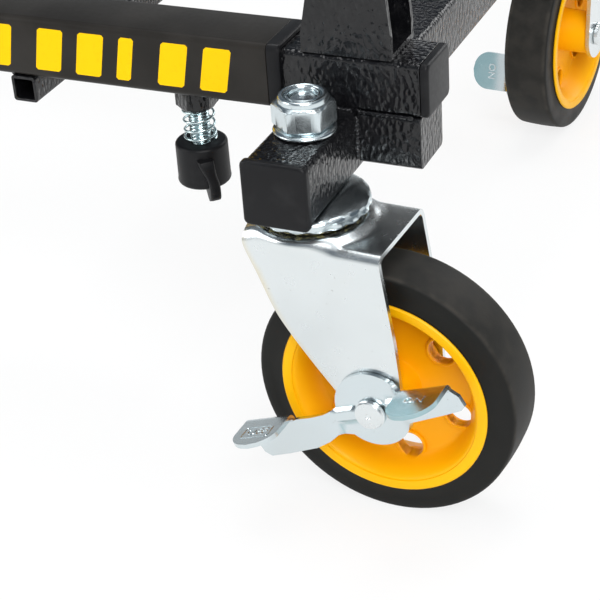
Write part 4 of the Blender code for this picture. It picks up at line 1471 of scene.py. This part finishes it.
@dataclass
class CasterWheel:
    """A moulded wheel: rubber tyre on a yellow rim with a dished, pierced web."""

    prefix: str
    place: Matrix
    radius: float = 63.5
    width: float = 28.0
    rim: float = 50.5
    rim_depth: float = 2.5
    rim_proud: float = 1.8
    hub_half: float = 22.4
    bore: float = 5.3
    shoulder: float = 1.9
    hole: float = 6.5
    hole_pitch: float = 33.4
    holes: int = 6
    first_hole: float = 43.0
    crown: float = 0.5
    ribs: int = 0
    groove: float = 1.3

    def tyre(self) -> Shape:
        """Make the tyre, with soft shoulders and a crowned tread.

        Returns:
            The tyre about Z.
        """
        half, drum = self.width / 2, self.rim - self.rim_depth + 0.3
        edge, soft = self.radius - self.crown, self.shoulder
        side = [(drum, -half), (self.rim + 0.8, -half), (self.rim + 1.6, 0.35 - half),
                ((self.rim + edge) / 2, 0.10 - half), (edge - soft - 1.2, 0.12 - half)]
        side += [(edge - soft + soft * math.sin(a), 0.25 - half + soft * (1 - math.cos(a)))
                 for a in spread(0.15, math.pi * 0.5, 6)]
        start = 0.25 - half + soft
        for y in spread(start, 0, 10 + 6 * self.ribs)[1:]:
            reach = edge + self.crown * (1 - (y / start) ** 2)
            if self.ribs:
                wave = abs(math.sin(y / half * math.pi * self.ribs / 2 + math.pi / 2))
                reach -= self.groove * smoothstep(wave, 0.88, 0.97)
            side.append((reach, y))
        brim = 0.25 - half + soft * 0.7

        def dust_and_highlight(point: Vector) -> float:
            """Dust the tread thinly, and paint a lighter line along its two brims as a painted
            highlight.

            Args:
                point: A point of the tyre.

            Returns:
                How much dust and painted highlight it gets, 0 to 1.
            """
            reach = math.hypot(point.x, point.y)
            line = 1 - smoothstep(abs(abs(point.z) + brim), 0.25, 1.3)
            return smoothstep(reach, edge - soft * 0.6, edge) * (0.42 + 0.5 * line)

        return Shape().turn(mirrored(side, 1, True), 96).mark(dust_and_highlight)

    def bore_holes(self, shape: Shape, web: float) -> Shape:
        """Bore the web's holes, each with a raised ring round it.

        Args:
            shape: The rim so far.
            web: Half the web's thickness.

        Returns:
            The rings.
        """
        half, hole, lip = self.width / 2, self.hole, web + 1.1
        outside = hole + 1.6
        ring = [(hole, -lip), (hole, lip), (hole + 0.5, lip + 0.3), (hole + 1.2, lip),
                (outside, web - 0.4), (outside, 0.4 - web), (hole + 1.2, -lip),
                (hole + 0.5, -lip - 0.3)]
        rings = Shape()
        for i in range(self.holes):
            angle = math.radians(self.first_hole + 360 / self.holes * i)
            centre = at(*polar(self.hole_pitch, angle), 0)
            shape.combine(pin(hole, -half, half).move(centre))
            rings.add(Shape().turn(ring, 40).move(centre))
        return rings

    def rim_shape(self) -> Shape:
        """Make the rim: proud ring, deep dish, web with ringed holes, and hub.

        Returns:
            The rim about Z.
        """
        half, rim, drum = self.width / 2, self.rim, self.rim - self.rim_depth
        face, web = half + self.rim_proud, half * 0.13
        ring_in, web_out, hub = rim * 0.90, rim * 0.73, self.bore * 2.6
        side = [(drum, half + 0.3), (rim - 0.2, half + 0.3), (rim, half + 0.6), (rim, face - 0.7),
                (rim - 0.7, face), (ring_in + 1.2, face), (ring_in + 0.3, face - 0.4),
                (ring_in, face - 1.2)]
        for t in spread(0.08, 1.0, 14):
            side.append((ring_in - (ring_in - web_out) * t ** 1.15,
                         face - 1.2 - (face - 1.2 - web) * smoothstep(t, 0, 1)))
        side += [(hub + 1.5, web), (hub + 0.4, web + 0.4), (hub, web + 1.6),
                 (hub - 0.4, self.hub_half - 0.8), (hub - 1.2, self.hub_half),
                 (self.bore + 0.6, self.hub_half), (self.bore, self.hub_half - 0.6)]
        shape = Shape().turn(mirrored(side, 1), 96)
        shape.add(self.bore_holes(shape, web))

        def depth(point: Vector) -> float:
            """Paint shade inside the dish, deepening the colour with depth below the rim's face."""
            inside = math.hypot(point.x, point.y) < rim - 3
            return smoothstep(face - abs(point.z), 1.0, half * 0.9) * inside

        return shape.mark(depth)

    def build(self) -> None:
        """Dress the wheel."""
        turn = self.place @ along_y(-1)
        self.tyre().place(f"{self.prefix}_rubber", RUBBER, f"{self.prefix}_tyre", matrix=turn)
        self.rim_shape().place(f"{self.prefix}_moulding", YELLOW, f"{self.prefix}_rim", bevel=0.3,
                               matrix=turn)


@dataclass
class CasterFork:
    """A caster's fork, bent from sheet under a pressed seat, with its riveted axle."""

    place: Matrix
    side: Side
    half: float = 25.3
    sheet: float = 2.5
    top: float = 142.9
    bend_radius: float = 5.0
    seat: float = 28.3
    seat_height: float = 3.0
    foot: Point = (36.0, 63.5)
    foot_radius: float = 16.3
    trail: float = 37.8
    axle_z: float = 63.5
    axle_bore: float = 5.2
    stem_bore: float = 6.8
    rear_edge: Tuple[Point, ...] = (
        (68.5, 20.5), (81.9, 9.4), (96.4, -1.7), (107.0, -8.4), (125.0, -16.1), (134.0, -20.3),
        (139.0, -21.9), (143.0, -22.0))
    front_edge: Tuple[Point, ...] = (
        (64.9, 52.2), (79.7, 51.4), (100.8, 49.3), (121.3, 46.3), (140.0, 43.6), (143.0, 43.5))

    def hub(self) -> Matrix:
        """Give the place of the wheel's middle."""
        return self.place @ at(self.trail, 0, self.axle_z)

    def edges(self, z: float) -> Point:
        """Give a leg's rear and front edges at a height.

        Args:
            z: The height.

        Returns:
            The rear and the front edge, along the fork.
        """
        middle, height = self.foot
        reach = math.sqrt(max(0.0, self.foot_radius ** 2 - (z - height) ** 2))
        rear = middle - reach if z < self.rear_edge[0][0] else through(self.rear_edge, z)
        front = middle + reach if z < self.front_edge[0][0] else through(self.front_edge, z)
        return rear, front

    def stations(self) -> List[Point]:
        """Walk the sheet's outer side from one foot over the top to the other.

        Returns:
            The walk's points in YZ.
        """
        half, bend, top = self.half, self.bend_radius, self.top
        leg = [(-half, self.foot[1] - self.foot_radius * math.cos(a) + 0.02)
               for a in spread(0, 1.25, 12)]
        leg += [(-half, z) for z in spread(leg[-1][1], top - bend, 58)[1:]]
        corner = arc((bend - half, top - bend), bend, 180, 90, 7)[1:]
        flat = [(y, top) for y in spread(bend - half, 0, 18)[1:]]
        return mirrored(leg + corner + flat, 0, True)

    def press(self, point: Vector) -> Vector:
        """Raise the seat and swell the plate beside it.

        Args:
            point: A point of the flat-topped sheet.

        Returns:
            Its place in the pressed sheet.
        """
        x, y, z = point
        reach = math.hypot(x, y)
        fade = smoothstep(z, 128.0, 142.0)
        lift = self.seat_height * (1 - smoothstep(reach, 25.6, 33.5)) * fade
        beside = (1 - smoothstep(abs(x), 0.0, 20.0)) * smoothstep(abs(y), 20.0, 25.3)
        swell = (self.seat - self.half) * beside
        out = math.copysign(swell * smoothstep(z, 127.0, 141.5), y)
        return Vector((x, y + out, z + lift))

    def sheet_shape(self) -> Shape:
        """Make the bent sheet: a grid across and along the strip, thickened and bored.

        Returns:
            The sheet, with the stem at 0.
        """
        columns = 44
        shape = Shape()
        rows = []
        for y, z in self.stations():
            back, front = self.edges(z)
            if z > self.top - self.bend_radius:
                back = min(back, -math.sqrt(max(0.0, self.seat ** 2 - y * y)))
            points = [self.press(Vector((x, y, z))) for x in spread(back, front, columns + 1)]
            rows.append([shape.mesh.verts.new(point) for point in points])
        for first, second in zip(rows, rows[1:]):
            for i in range(columns):
                shape.mesh.faces.new((first[i], second[i], second[i + 1], first[i + 1]))
        bmesh.ops.recalc_face_normals(shape.mesh, faces=shape.mesh.faces)
        middle = max(shape.mesh.faces, key=lambda face: face.calc_center_median().z)
        offset = -1.0 if middle.normal.z > 0 else 1.0
        shape.through_modifier("SOLIDIFY", thickness=self.sheet, offset=offset,
                               use_even_offset=True)
        shape.combine(pin(self.stem_bore, 120, 160))
        bore = pin(self.axle_bore, -40, 40)
        shape.combine(bore.move(at(self.trail, 0, self.axle_z) @ along_y()))

        def rim(point: Vector) -> float:
            """Mark the cut rear edge."""
            return 1 - smoothstep(point.x - self.edges(min(point.z, 143.0))[0], 0.0, 5.0)

        return shape.mark(rim)

    def axle(self) -> Shape:
        """Make the riveted axle, with a stepped round head.

        Returns:
            The axle along Y, with the wheel's middle at 0.
        """
        near, far = -(self.half + 2.8), self.half + 0.3
        head = [(0.01, near - 2.7), (1.1, near - 2.6), (1.5, near - 2.95), (5.6, near - 3.0),
                (6.6, near - 2.7), (7.0, near - 2.1), (6.8, near - 1.7), (7.3, near - 1.3),
                (7.3, near - 0.2), (6.9, near), (5, near)]
        tail = [(5, far), (7.0, far), (7.3, far + 0.5), (7.0, far + 2.2), (5.8, far + 3.0),
                (2.6, far + 2.9), (1.8, far + 2.2), (0.01, far + 2.1)]
        return Shape().turn(head + tail, 64, False).move(along_y())

    def build(self) -> None:
        """Dress the fork and its axle."""
        s = self.side.value
        self.sheet_shape().place(f"caster_fork_{s}_sheet", ZINC, f"caster_fork_{s}", bevel=0.35,
                                 matrix=self.place)
        self.axle().place(f"caster_axle_{s}_rivet", ZINC, f"caster_axle_{s}", matrix=self.hub())


@dataclass(frozen=True)
class Tongue:
    """One tongue of a brake lever: its place, how much painted shade darkens its outer end, and its
    word.
    """

    start: float
    top: float
    end_shade: float
    word: str
    inward: float
    framed: bool


# Each tongue's painted shade at its outer end: slight on the left, full on the right.
LEFT_TONGUE = Tongue(start=-65.4, top=5.2, end_shade=0.15, word="OFF", inward=10.6, framed=True)
RIGHT_TONGUE = Tongue(start=20.0, top=10.8, end_shade=1.0, word="ON", inward=12.8, framed=False)


@dataclass
class BrakeLever:
    """A pressed brake lever: a flat disc, two joggled arms and two folded tongues."""

    place: Matrix
    side: Side
    tilt: float
    sheet: float = 2.2
    face: float = -25.6
    axle_bore: float = 5.2
    hub: Point = (1.5, 1.5)
    hub_radius: float = 18.6
    joggle: float = 2.1
    tongue_width: float = 24.5
    reach: float = -52.6
    fold: float = 1.2
    letter: float = 6.6

    def outline(self) -> List[Point]:
        """Draw the lever's flat side view, along U and across V.

        Returns:
            The outline, anticlockwise from the left tongue.
        """
        bend = self.fold + self.sheet
        start, high = LEFT_TONGUE.start, LEFT_TONGUE.top - bend
        end = start + self.tongue_width
        left = [(end + 2.4, high + 0.5), (end, high), (start, high), (start + 0.4, -8.4),
                (start + 1.6, -13.0), (start + 4.6, -15.6)]
        foot = [(-50.0, -15.2), (-34.2, -13.9), (-26.0, -11.4), (-20.5, -8.6)]
        low = arc(self.hub, self.hub_radius, 218, 336, 26)
        start, high = RIGHT_TONGUE.start, RIGHT_TONGUE.top - bend
        right = [(22.0, -5.9), (39.2, -3.9), (46.4, -2.9), (48.6, -1.2), (47.6, 4.0),
                 (start + self.tongue_width, high), (start, high)]
        brow = arc(self.hub, self.hub_radius, 26, 169, 32)
        return left + foot + low + right + brow + [(-19.2, 4.2), (-24.0, 2.9), (-31.0, 2.2)]

    def raise_arm(self, u: float, v: float) -> float:
        """Give how far the pressing stands out at a point.

        Args:
            u: Along the lever.
            v: Across it.

        Returns:
            The height over the disc's face.
        """
        reach = abs(u - self.hub[0])
        arm = smoothstep(reach, 12.6, 18.3)
        if u <= 0:
            arm = smoothstep(reach - 0.02 * v * v, 17.6, 21.6)
        off = abs(v - self.bead_middle(u))
        bead = smoothstep(reach, 6.0, 9.0) * (1 - smoothstep(off, 1.8, 4.3))
        return self.joggle * max(arm, bead)

    def bead_middle(self, u: float) -> float:
        """Give the height of the stiffening bead's middle."""
        return 3.2 if u > 0 else 1.4 + 0.03 * u

    def crease_shade(self, point: Vector) -> float:
        """Mark painted shade along the creases at the foot and brow of the bead and at the left
        arm's step.

        Args:
            point: A point of the plate.

        Returns:
            How much painted shade it gets, 0 to 1.
        """
        reach = abs(point.x - self.hub[0])
        off = point.z - self.bead_middle(point.x)
        along = smoothstep(reach, 7.0, 9.0) * (1 - smoothstep(reach, 16.5, 18.5))
        foot = 1 - smoothstep(abs(off + 4.2), 0.3, 1.7)
        brow = 0.7 * (1 - smoothstep(abs(off - 4.2), 0.2, 1.3))
        step = 1 - smoothstep(abs(reach - 0.02 * point.z ** 2 - 18.3), 0.3, 2.4)
        step *= smoothstep(abs(off), 2.6, 4.2) * (point.x < 0)
        return max(along * max(foot, brow), 0.9 * step)

    def plate(self) -> Shape:
        """Press the plate from its outline, cut into a fine grid first.

        Returns:
            The plate, with the axle at 0.
        """
        shape = Shape()
        shape.mesh.faces.new([shape.mesh.verts.new((u, 0, v)) for u, v in self.outline()])
        cuts = [((u, 0, 0), (1, 0, 0)) for u in spread(-64, 48, 76)]
        cuts += [((0, 0, v), (0, 0, 1)) for v in spread(-16, 20, 25)]
        for point, normal in cuts:
            mesh = shape.mesh
            everything = list(mesh.verts) + list(mesh.edges) + list(mesh.faces)
            bmesh.ops.bisect_plane(mesh, geom=everything, dist=1e-4, plane_co=point,
                                   plane_no=normal)
        shape.bend(lambda p: Vector((p.x, self.face - self.sheet - self.raise_arm(p.x, p.z), p.z)))
        bmesh.ops.recalc_face_normals(shape.mesh, faces=shape.mesh.faces)
        first = next(iter(shape.mesh.faces))
        offset = 1.0 if first.normal.y > 0 else -1.0
        shape.through_modifier("SOLIDIFY", thickness=self.sheet, offset=offset)
        shape.combine(pin(self.axle_bore, -60, 60).move(along_y()))
        return shape.mark(self.crease_shade)

    def tongue_shape(self, tongue: Tongue) -> Shape:
        """Fold a tongue out of the plate's top edge.

        Args:
            tongue: Which tongue.

        Returns:
            The tongue, with a rounded outer end.
        """
        r, t, top = self.fold, self.sheet, tongue.top
        outer = self.face - t - self.joggle
        centre = (outer - r, top - t - r)
        foot = centre[1] - 0.3
        tail = spread(centre[0], self.reach, 26)[1:]
        under = [(outer, foot)] + arc(centre, r, 0, 90, 7) + [(y, top - t) for y in tail]
        upper = [(outer + t, foot)] + arc(centre, r + t, 0, 90, 7) + [(y, top) for y in tail]
        middle, blunt = tongue.start + self.tongue_width / 2, self.tongue_width * 0.42
        strip = []
        for (y0, z0), (y1, z1) in zip(upper, under):
            past = max(0.0, self.reach + blunt - y0) / blunt
            half = max(0.35, self.tongue_width / 2 * math.sqrt(1 - min(1.0, past) ** 2))
            strip.append([(middle - half, y0, z0), (middle + half, y0, z0),
                          (middle + half, y1, z1), (middle - half, y1, z1)])
        # Painted shade darkens the tongue's outer end.
        return Shape().skin(strip).mark(lambda p: tongue.end_shade * smoothstep(-p.y, 31.0, 40.0))

    def word(self, tongue: Tongue) -> Shape:
        """Emboss a tongue's word, and the raised line that frames it.

        Args:
            tongue: Which tongue.

        Returns:
            The raised letters.
        """
        curve = bpy.data.curves.new("word", "FONT")
        curve.body = tongue.word
        curve.size = self.letter
        curve.extrude = 0.10
        curve.bevel_depth = 0.12
        curve.align_x = curve.align_y = "CENTER"
        shape = Shape().take(put("word", curve))
        if tongue.framed:
            wide, deep, line = self.tongue_width * 0.64, 9.0, 0.6
            outer = rounded(wide, deep, 1.6)
            inner = rounded(wide - 2 * line, deep - 2 * line, 1.1)
            sunk, raised = -0.1, 0.14
            stations = ((outer, sunk), (outer, raised), (inner, raised), (inner, sunk))
            rings = [[(a, b, z) for a, b in ring] for ring, z in stations]
            shape.add(Shape().skin(rings, True))
        middle = tongue.start + self.tongue_width / 2
        return shape.move(at(middle, self.reach + tongue.inward, tongue.top + 0.05))

    def build(self) -> None:
        """Dress the lever."""
        s = self.side.value
        shape = self.plate()
        for make in (self.tongue_shape, self.word):
            for tongue in (LEFT_TONGUE, RIGHT_TONGUE):
                shape.add(make(tongue))
        shape.place(f"brake_lever_{s}_pressing", LEVER_ZINC, f"brake_lever_{s}", bevel=0.35,
                    matrix=self.place @ turned(-self.tilt, "Y"))


@dataclass
class RearAxle:
    """The fixed rear wheels on their axle, with push-on caps."""

    radius: float = 8.0
    wheel_y: float = 233.4
    wheel_radius: float = 101.5

    def cap(self, side: Side) -> None:
        """Replace a push-on cap by a domed one with a rolled edge.

        Args:
            side: Which side of the cart it is on.
        """
        node = f"axle_cap_{side.value}"
        block = Block.of(node)
        inner_y = block.low.y if side is Side.LEFT else block.high.y
        depth, neck, dome = block.size.y, 5.4, 11.9
        profile = [(8.3, depth * 0.75), (8.3, 0), (12.4, 0), (13.0, 0.7), (13.0, 2.2), (12.2, 2.9),
                   (dome, neck)]
        profile += [(dome * math.cos(a), neck + (depth - neck) * math.sin(a))
                    for a in spread(0.25, 1.45, 6)]
        place = at(block.centre.x, inner_y, block.centre.z) @ along_y(side.sign)
        Shape().turn(profile, 48, False).place(f"{node}_dome", ZINC, node, matrix=place)

    def build(self) -> None:
        """Dress the axle, its caps and its wheels."""
        block = Block.of("rear_axle")
        half, chamfer = block.size.y / 2, 0.8
        rod = [(0.01, -half), (self.radius - chamfer, -half), (self.radius, chamfer - half)]
        Shape().turn(mirrored(rod, 1), 48, False).place(
            "rear_axle_rod", ZINC, "rear_axle", matrix=Matrix.Translation(block.centre) @ along_y())
        for side in Side:
            self.cap(side)
            place = at(block.centre.x, side.sign * self.wheel_y, self.wheel_radius)
            CasterWheel(f"rear_{side.value}", place, radius=self.wheel_radius, width=50.0, rim=74.0,
                        hub_half=30.0, bore=8.3, shoulder=4.5, hole=9.2, hole_pitch=47.4,
                        crown=1.1, ribs=5).build()


@dataclass
class Handle:
    """A folding handle of bent round tube, with the wing screws that it turns on."""

    layout: Layout
    end: End
    pivot: Point
    radius: float = 10.94
    wall: float = 1.6
    height: float = 590.0
    bend: float = 70.0
    foot: float = 8.5
    lean: float = 6.0
    screw_bore: float = 4.4
    screw_radius: float = 4.0
    screw_pitch: float = 1.25
    stand_off: float = 14.1
    knob: WingKnob = field(default_factory=WingKnob)
    knob_scale: float = 0.78
    wing_thickness: float = 5.0

    def path(self) -> List[Place]:
        """Walk the handle's centre line from one foot to the other.

        Returns:
            The line's points, with the pivots' height at 0.
        """
        y, top = self.layout.rail_y, self.height - self.bend
        half = [(-y, -self.foot)] + [(-y, z) for z in spread(12 - self.foot, top - 10, 8)]
        half += arc((self.bend - y, top), self.bend, 180, 90, 14)
        return [(0.0, a, b) for a, b in mirrored(half, 0)]

    def tube(self) -> None:
        """Replace the handle by a smooth hollow tube."""
        node = f"{self.end.value}_handle"
        line = self.path()
        shape = Shape().sweep(line, self.radius, 32)
        foot = self.foot + 2
        bore = [(0.0, line[0][1], -foot)] + line[1:-1] + [(0.0, line[-1][1], -foot)]
        shape.combine(Shape().sweep(bore, self.radius - self.wall, 24))
        reach = self.layout.rail_y + 30
        shape.combine(pin(self.screw_bore, -reach, reach, 32).move(along_y()))
        place = at(self.pivot[0], 0, self.pivot[1])
        shape.place(f"{node}_tube", HAMMERED, node,
                    matrix=place @ turned(self.end.sign * self.lean, "Y"))

    def wing_knob(self) -> Shape:
        """Make a wing screw's knob: a solid drum with a flat wing across it.

        Returns:
            The knob about Z, with the handle's tube at 0.
        """
        scale, top = self.knob_scale, -self.stand_off
        base, tall = self.knob.base * scale, self.knob.height * scale
        low = top - tall
        drum = [(0.01, low - 0.9), (base - 3.0, low - 0.9), (base - 1.2, low - 0.3),
                (base - 0.3, low + 0.6), (base, low + 1.8), (base - 0.5, top - 1.6),
                (base - 1.3, top - 0.5), (base - 2.4, top - 0.3), (self.screw_radius, top - 0.3),
                (self.screw_radius, top + 0.5), (0.01, top + 0.5)]
        half, reach = self.wing_thickness * scale / 2, self.knob.reach * scale
        tail = low - self.knob.wing_below * scale
        outline = mirrored([(reach - 3.2, tail), (reach - 1.1, tail + 0.9), (reach, tail + 3.0),
                            (reach, top - tall * 0.45), (reach - 1.2, top - tall * 0.4)], 0)
        wing = Shape().skin([[(x, y, z) for x, z in outline] for y in (-half, half)])
        return Shape().turn(drum, 56, False).combine(wing, "UNION")

    def screw(self, side: Side) -> None:
        """Replace a wing screw by one with a moulded knob and a thread.

        Args:
            side: Which side of the cart it is on.
        """
        node = f"{self.end.value}_handle_screw_{side.value}"
        place = at(self.pivot[0], side.sign * self.layout.rail_y, self.pivot[1])
        place @= turned(side.sign * 90, "X")
        self.wing_knob().place(f"{node}_knob", PLASTIC, node, bevel=0.7, steps=3, matrix=place)
        rod = thread(self.screw_radius, 0.6, self.screw_pitch, -self.stand_off,
                     self.stand_off + 5.0)
        rod.place(f"{node}_thread", ZINC, node, replaces=False, matrix=place)

    def build(self) -> None:
        """Dress the handle and its screws."""
        self.tube()
        for side in Side:
            self.screw(side)


@dataclass
class PressedParts:
    """The CAD nodes that keep their own shape: handle brackets and axle plates."""

    bevel: float = 0.7
    names: Tuple[str, ...] = ("rear_bracket", "front_bracket", "axle_plate")

    def build(self) -> None:
        """Paint each kept node and round its edges."""
        for name in self.names:
            for side in Side:
                piece = bpy.data.objects[f"{name}_{side.value}"]
                piece.data.materials.clear()
                piece.data.materials.append(HAMMERED.material())
                round_edges(piece, self.bevel)
                LOG.info("%s keeps its own shape", piece.name)


@dataclass
class Studio:
    """A pale floor, soft lights and the camera of the photograph."""

    place: Place = (0.617416, -0.82671, 0.51079)
    target: Place = (0.1, 0.0, 0.15)
    lens: float = 102.8
    yaw: float = 25.60
    pitch: float = 31.72
    roll: float = 4.31
    horizon: Colour = (0.74, 0.76, 0.77)
    sky: Colour = (0.080, 0.103, 0.128)
    zenith: Colour = (0.80, 0.84, 0.87)
    white: Colour = (1.0, 1.0, 1.0)
    floor_tint: Colour = (0.90, 0.90, 0.89)

    def camera(self) -> None:
        """Set the camera at the photograph's viewing angle."""
        yaw, pitch, roll = (math.radians(a) for a in (self.yaw, self.pitch, self.roll))
        level = math.cos(pitch)
        ahead = Vector((-math.sin(yaw) * level, math.cos(yaw) * level, -math.sin(pitch)))
        right = Vector((math.cos(yaw), math.sin(yaw), 0))
        down = ahead.cross(right)
        across = right * math.cos(roll) + down * math.sin(roll)
        below = down * math.cos(roll) - right * math.sin(roll)
        data = bpy.data.cameras.new("photo_view")
        data.lens = self.lens
        data.sensor_width = 36.0
        data.clip_start, data.clip_end = 0.01, 50.0
        camera = put("photo_view", data)
        turn = Matrix((across, -below, -ahead)).transposed().to_4x4()
        camera.matrix_world = Matrix.Translation(self.place) @ turn
        bpy.context.scene.camera = camera

    def lamp(self, name: str, place: Sequence[float], size: float, power: float) -> None:
        """Hang a square softbox that faces the cart.

        Args:
            name: The lamp's name.
            place: Where it hangs, in metres.
            size: Its side.
            power: Its power in watts.
        """
        data = bpy.data.lights.new(name, "AREA")
        data.size = size
        data.energy = power
        lamp = put(name, data)
        lamp.location = place
        lamp.rotation_mode = "QUATERNION"
        ahead = Vector(self.target) - Vector(place)
        lamp.rotation_quaternion = ahead.to_track_quat("-Z", "Y")

    def floor(self) -> None:
        """Lay the pale floor, white to the camera but for the cart's soft shadow."""
        width, corner, thick = 9000, 900, 12
        shape = Shape().prism(rounded(width, width, corner, 8), -thick, 0)
        floor = put("floor", shape.move(Matrix.Scale(MM, 4)).to_mesh("floor"))
        graph = Graph("pale_floor")
        matt = graph.signal("ShaderNodeBsdfDiffuse", {}, {"Color": self.floor_tint})
        white = graph.signal("ShaderNodeEmission", {}, {"Color": self.white, "Strength": 1.0})
        rays = graph.node("ShaderNodeLightPath", {}, {})
        camera, through_glass, mirror = (Signal(graph, rays.outputs[f"Is {kind} Ray"])
                                         for kind in ("Camera", "Transmission", "Glossy"))
        share = (camera + through_glass).between(0.0, 1.0) * 0.82 + mirror * 0.6
        mixed = graph.signal("ShaderNodeMixShader", {}, {0: share, 1: matt, 2: white})
        graph.node("ShaderNodeOutputMaterial", {}, {"Surface": mixed})
        floor.data.materials.append(graph.material)

    def room(self) -> None:
        """Make the room: pale low down, dim above, softly lit overhead, and white to the camera."""
        world = bpy.data.worlds.new("studio")
        graph = Graph("studio", world)
        way = graph.signal("ShaderNodeTexCoord", {}, {}, "Generated")
        height = graph.signal("ShaderNodeSeparateXYZ", {}, {"Vector": way}, "Z")
        upper = graph.mix(self.horizon, self.sky, height.between(0.10, 0.42))
        colour = graph.mix(upper, self.zenith, height.between(0.76, 0.93))
        glow, white = (graph.signal("ShaderNodeBackground", {}, {"Color": tint, "Strength": 1.0})
                       for tint in (colour, self.white))
        seen = graph.signal("ShaderNodeLightPath", {}, {}, "Is Camera Ray")
        mixed = graph.signal("ShaderNodeMixShader", {}, {0: seen, 1: glow, 2: white})
        graph.node("ShaderNodeOutputWorld", {}, {"Surface": mixed})
        bpy.context.scene.world = world

    def build(self) -> None:
        """Set up the camera, lights, floor and world."""
        self.camera()
        self.floor()
        self.lamp("key_light", (1.7, -2.3, 2.3), 1.8, 78)
        self.lamp("fill_light", (-2.4, -1.8, 1.7), 1.8, 34)
        self.lamp("top_light", (0.2, 0.5, 3.0), 1.6, 36)
        self.lamp("back_light", (1.2, 2.6, 1.5), 1.6, 26)
        self.room()
        bpy.context.scene.view_settings.view_transform = "Standard"


def main() -> None:
    """Load the frame, dress the cart and set the stage."""
    logging.basicConfig(level=logging.INFO, format="%(name)s: %(message)s")
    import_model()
    layout = Layout()
    SquareTubes(layout).build()
    for side, yaw, tilt in ((Side.RIGHT, -2.7, 21.0), (Side.LEFT, -94.1, -75.0)):
        RailClamp(layout, side).build()
        CasterStem(layout, side).build()
        fork = CasterFork(layout.stem(side) @ turned(yaw), side)
        fork.build()
        CasterWheel(f"caster_{side.value}", fork.hub()).build()
        BrakeLever(fork.hub(), side, tilt).build()
    RearAxle().build()
    Handle(layout, End.REAR, (-365.314, 230.001)).build()
    Handle(layout, End.FRONT, (347.686, 253.501)).build()
    PressedParts().build()
    Studio().build()


if __name__ == "__main__":
    main()
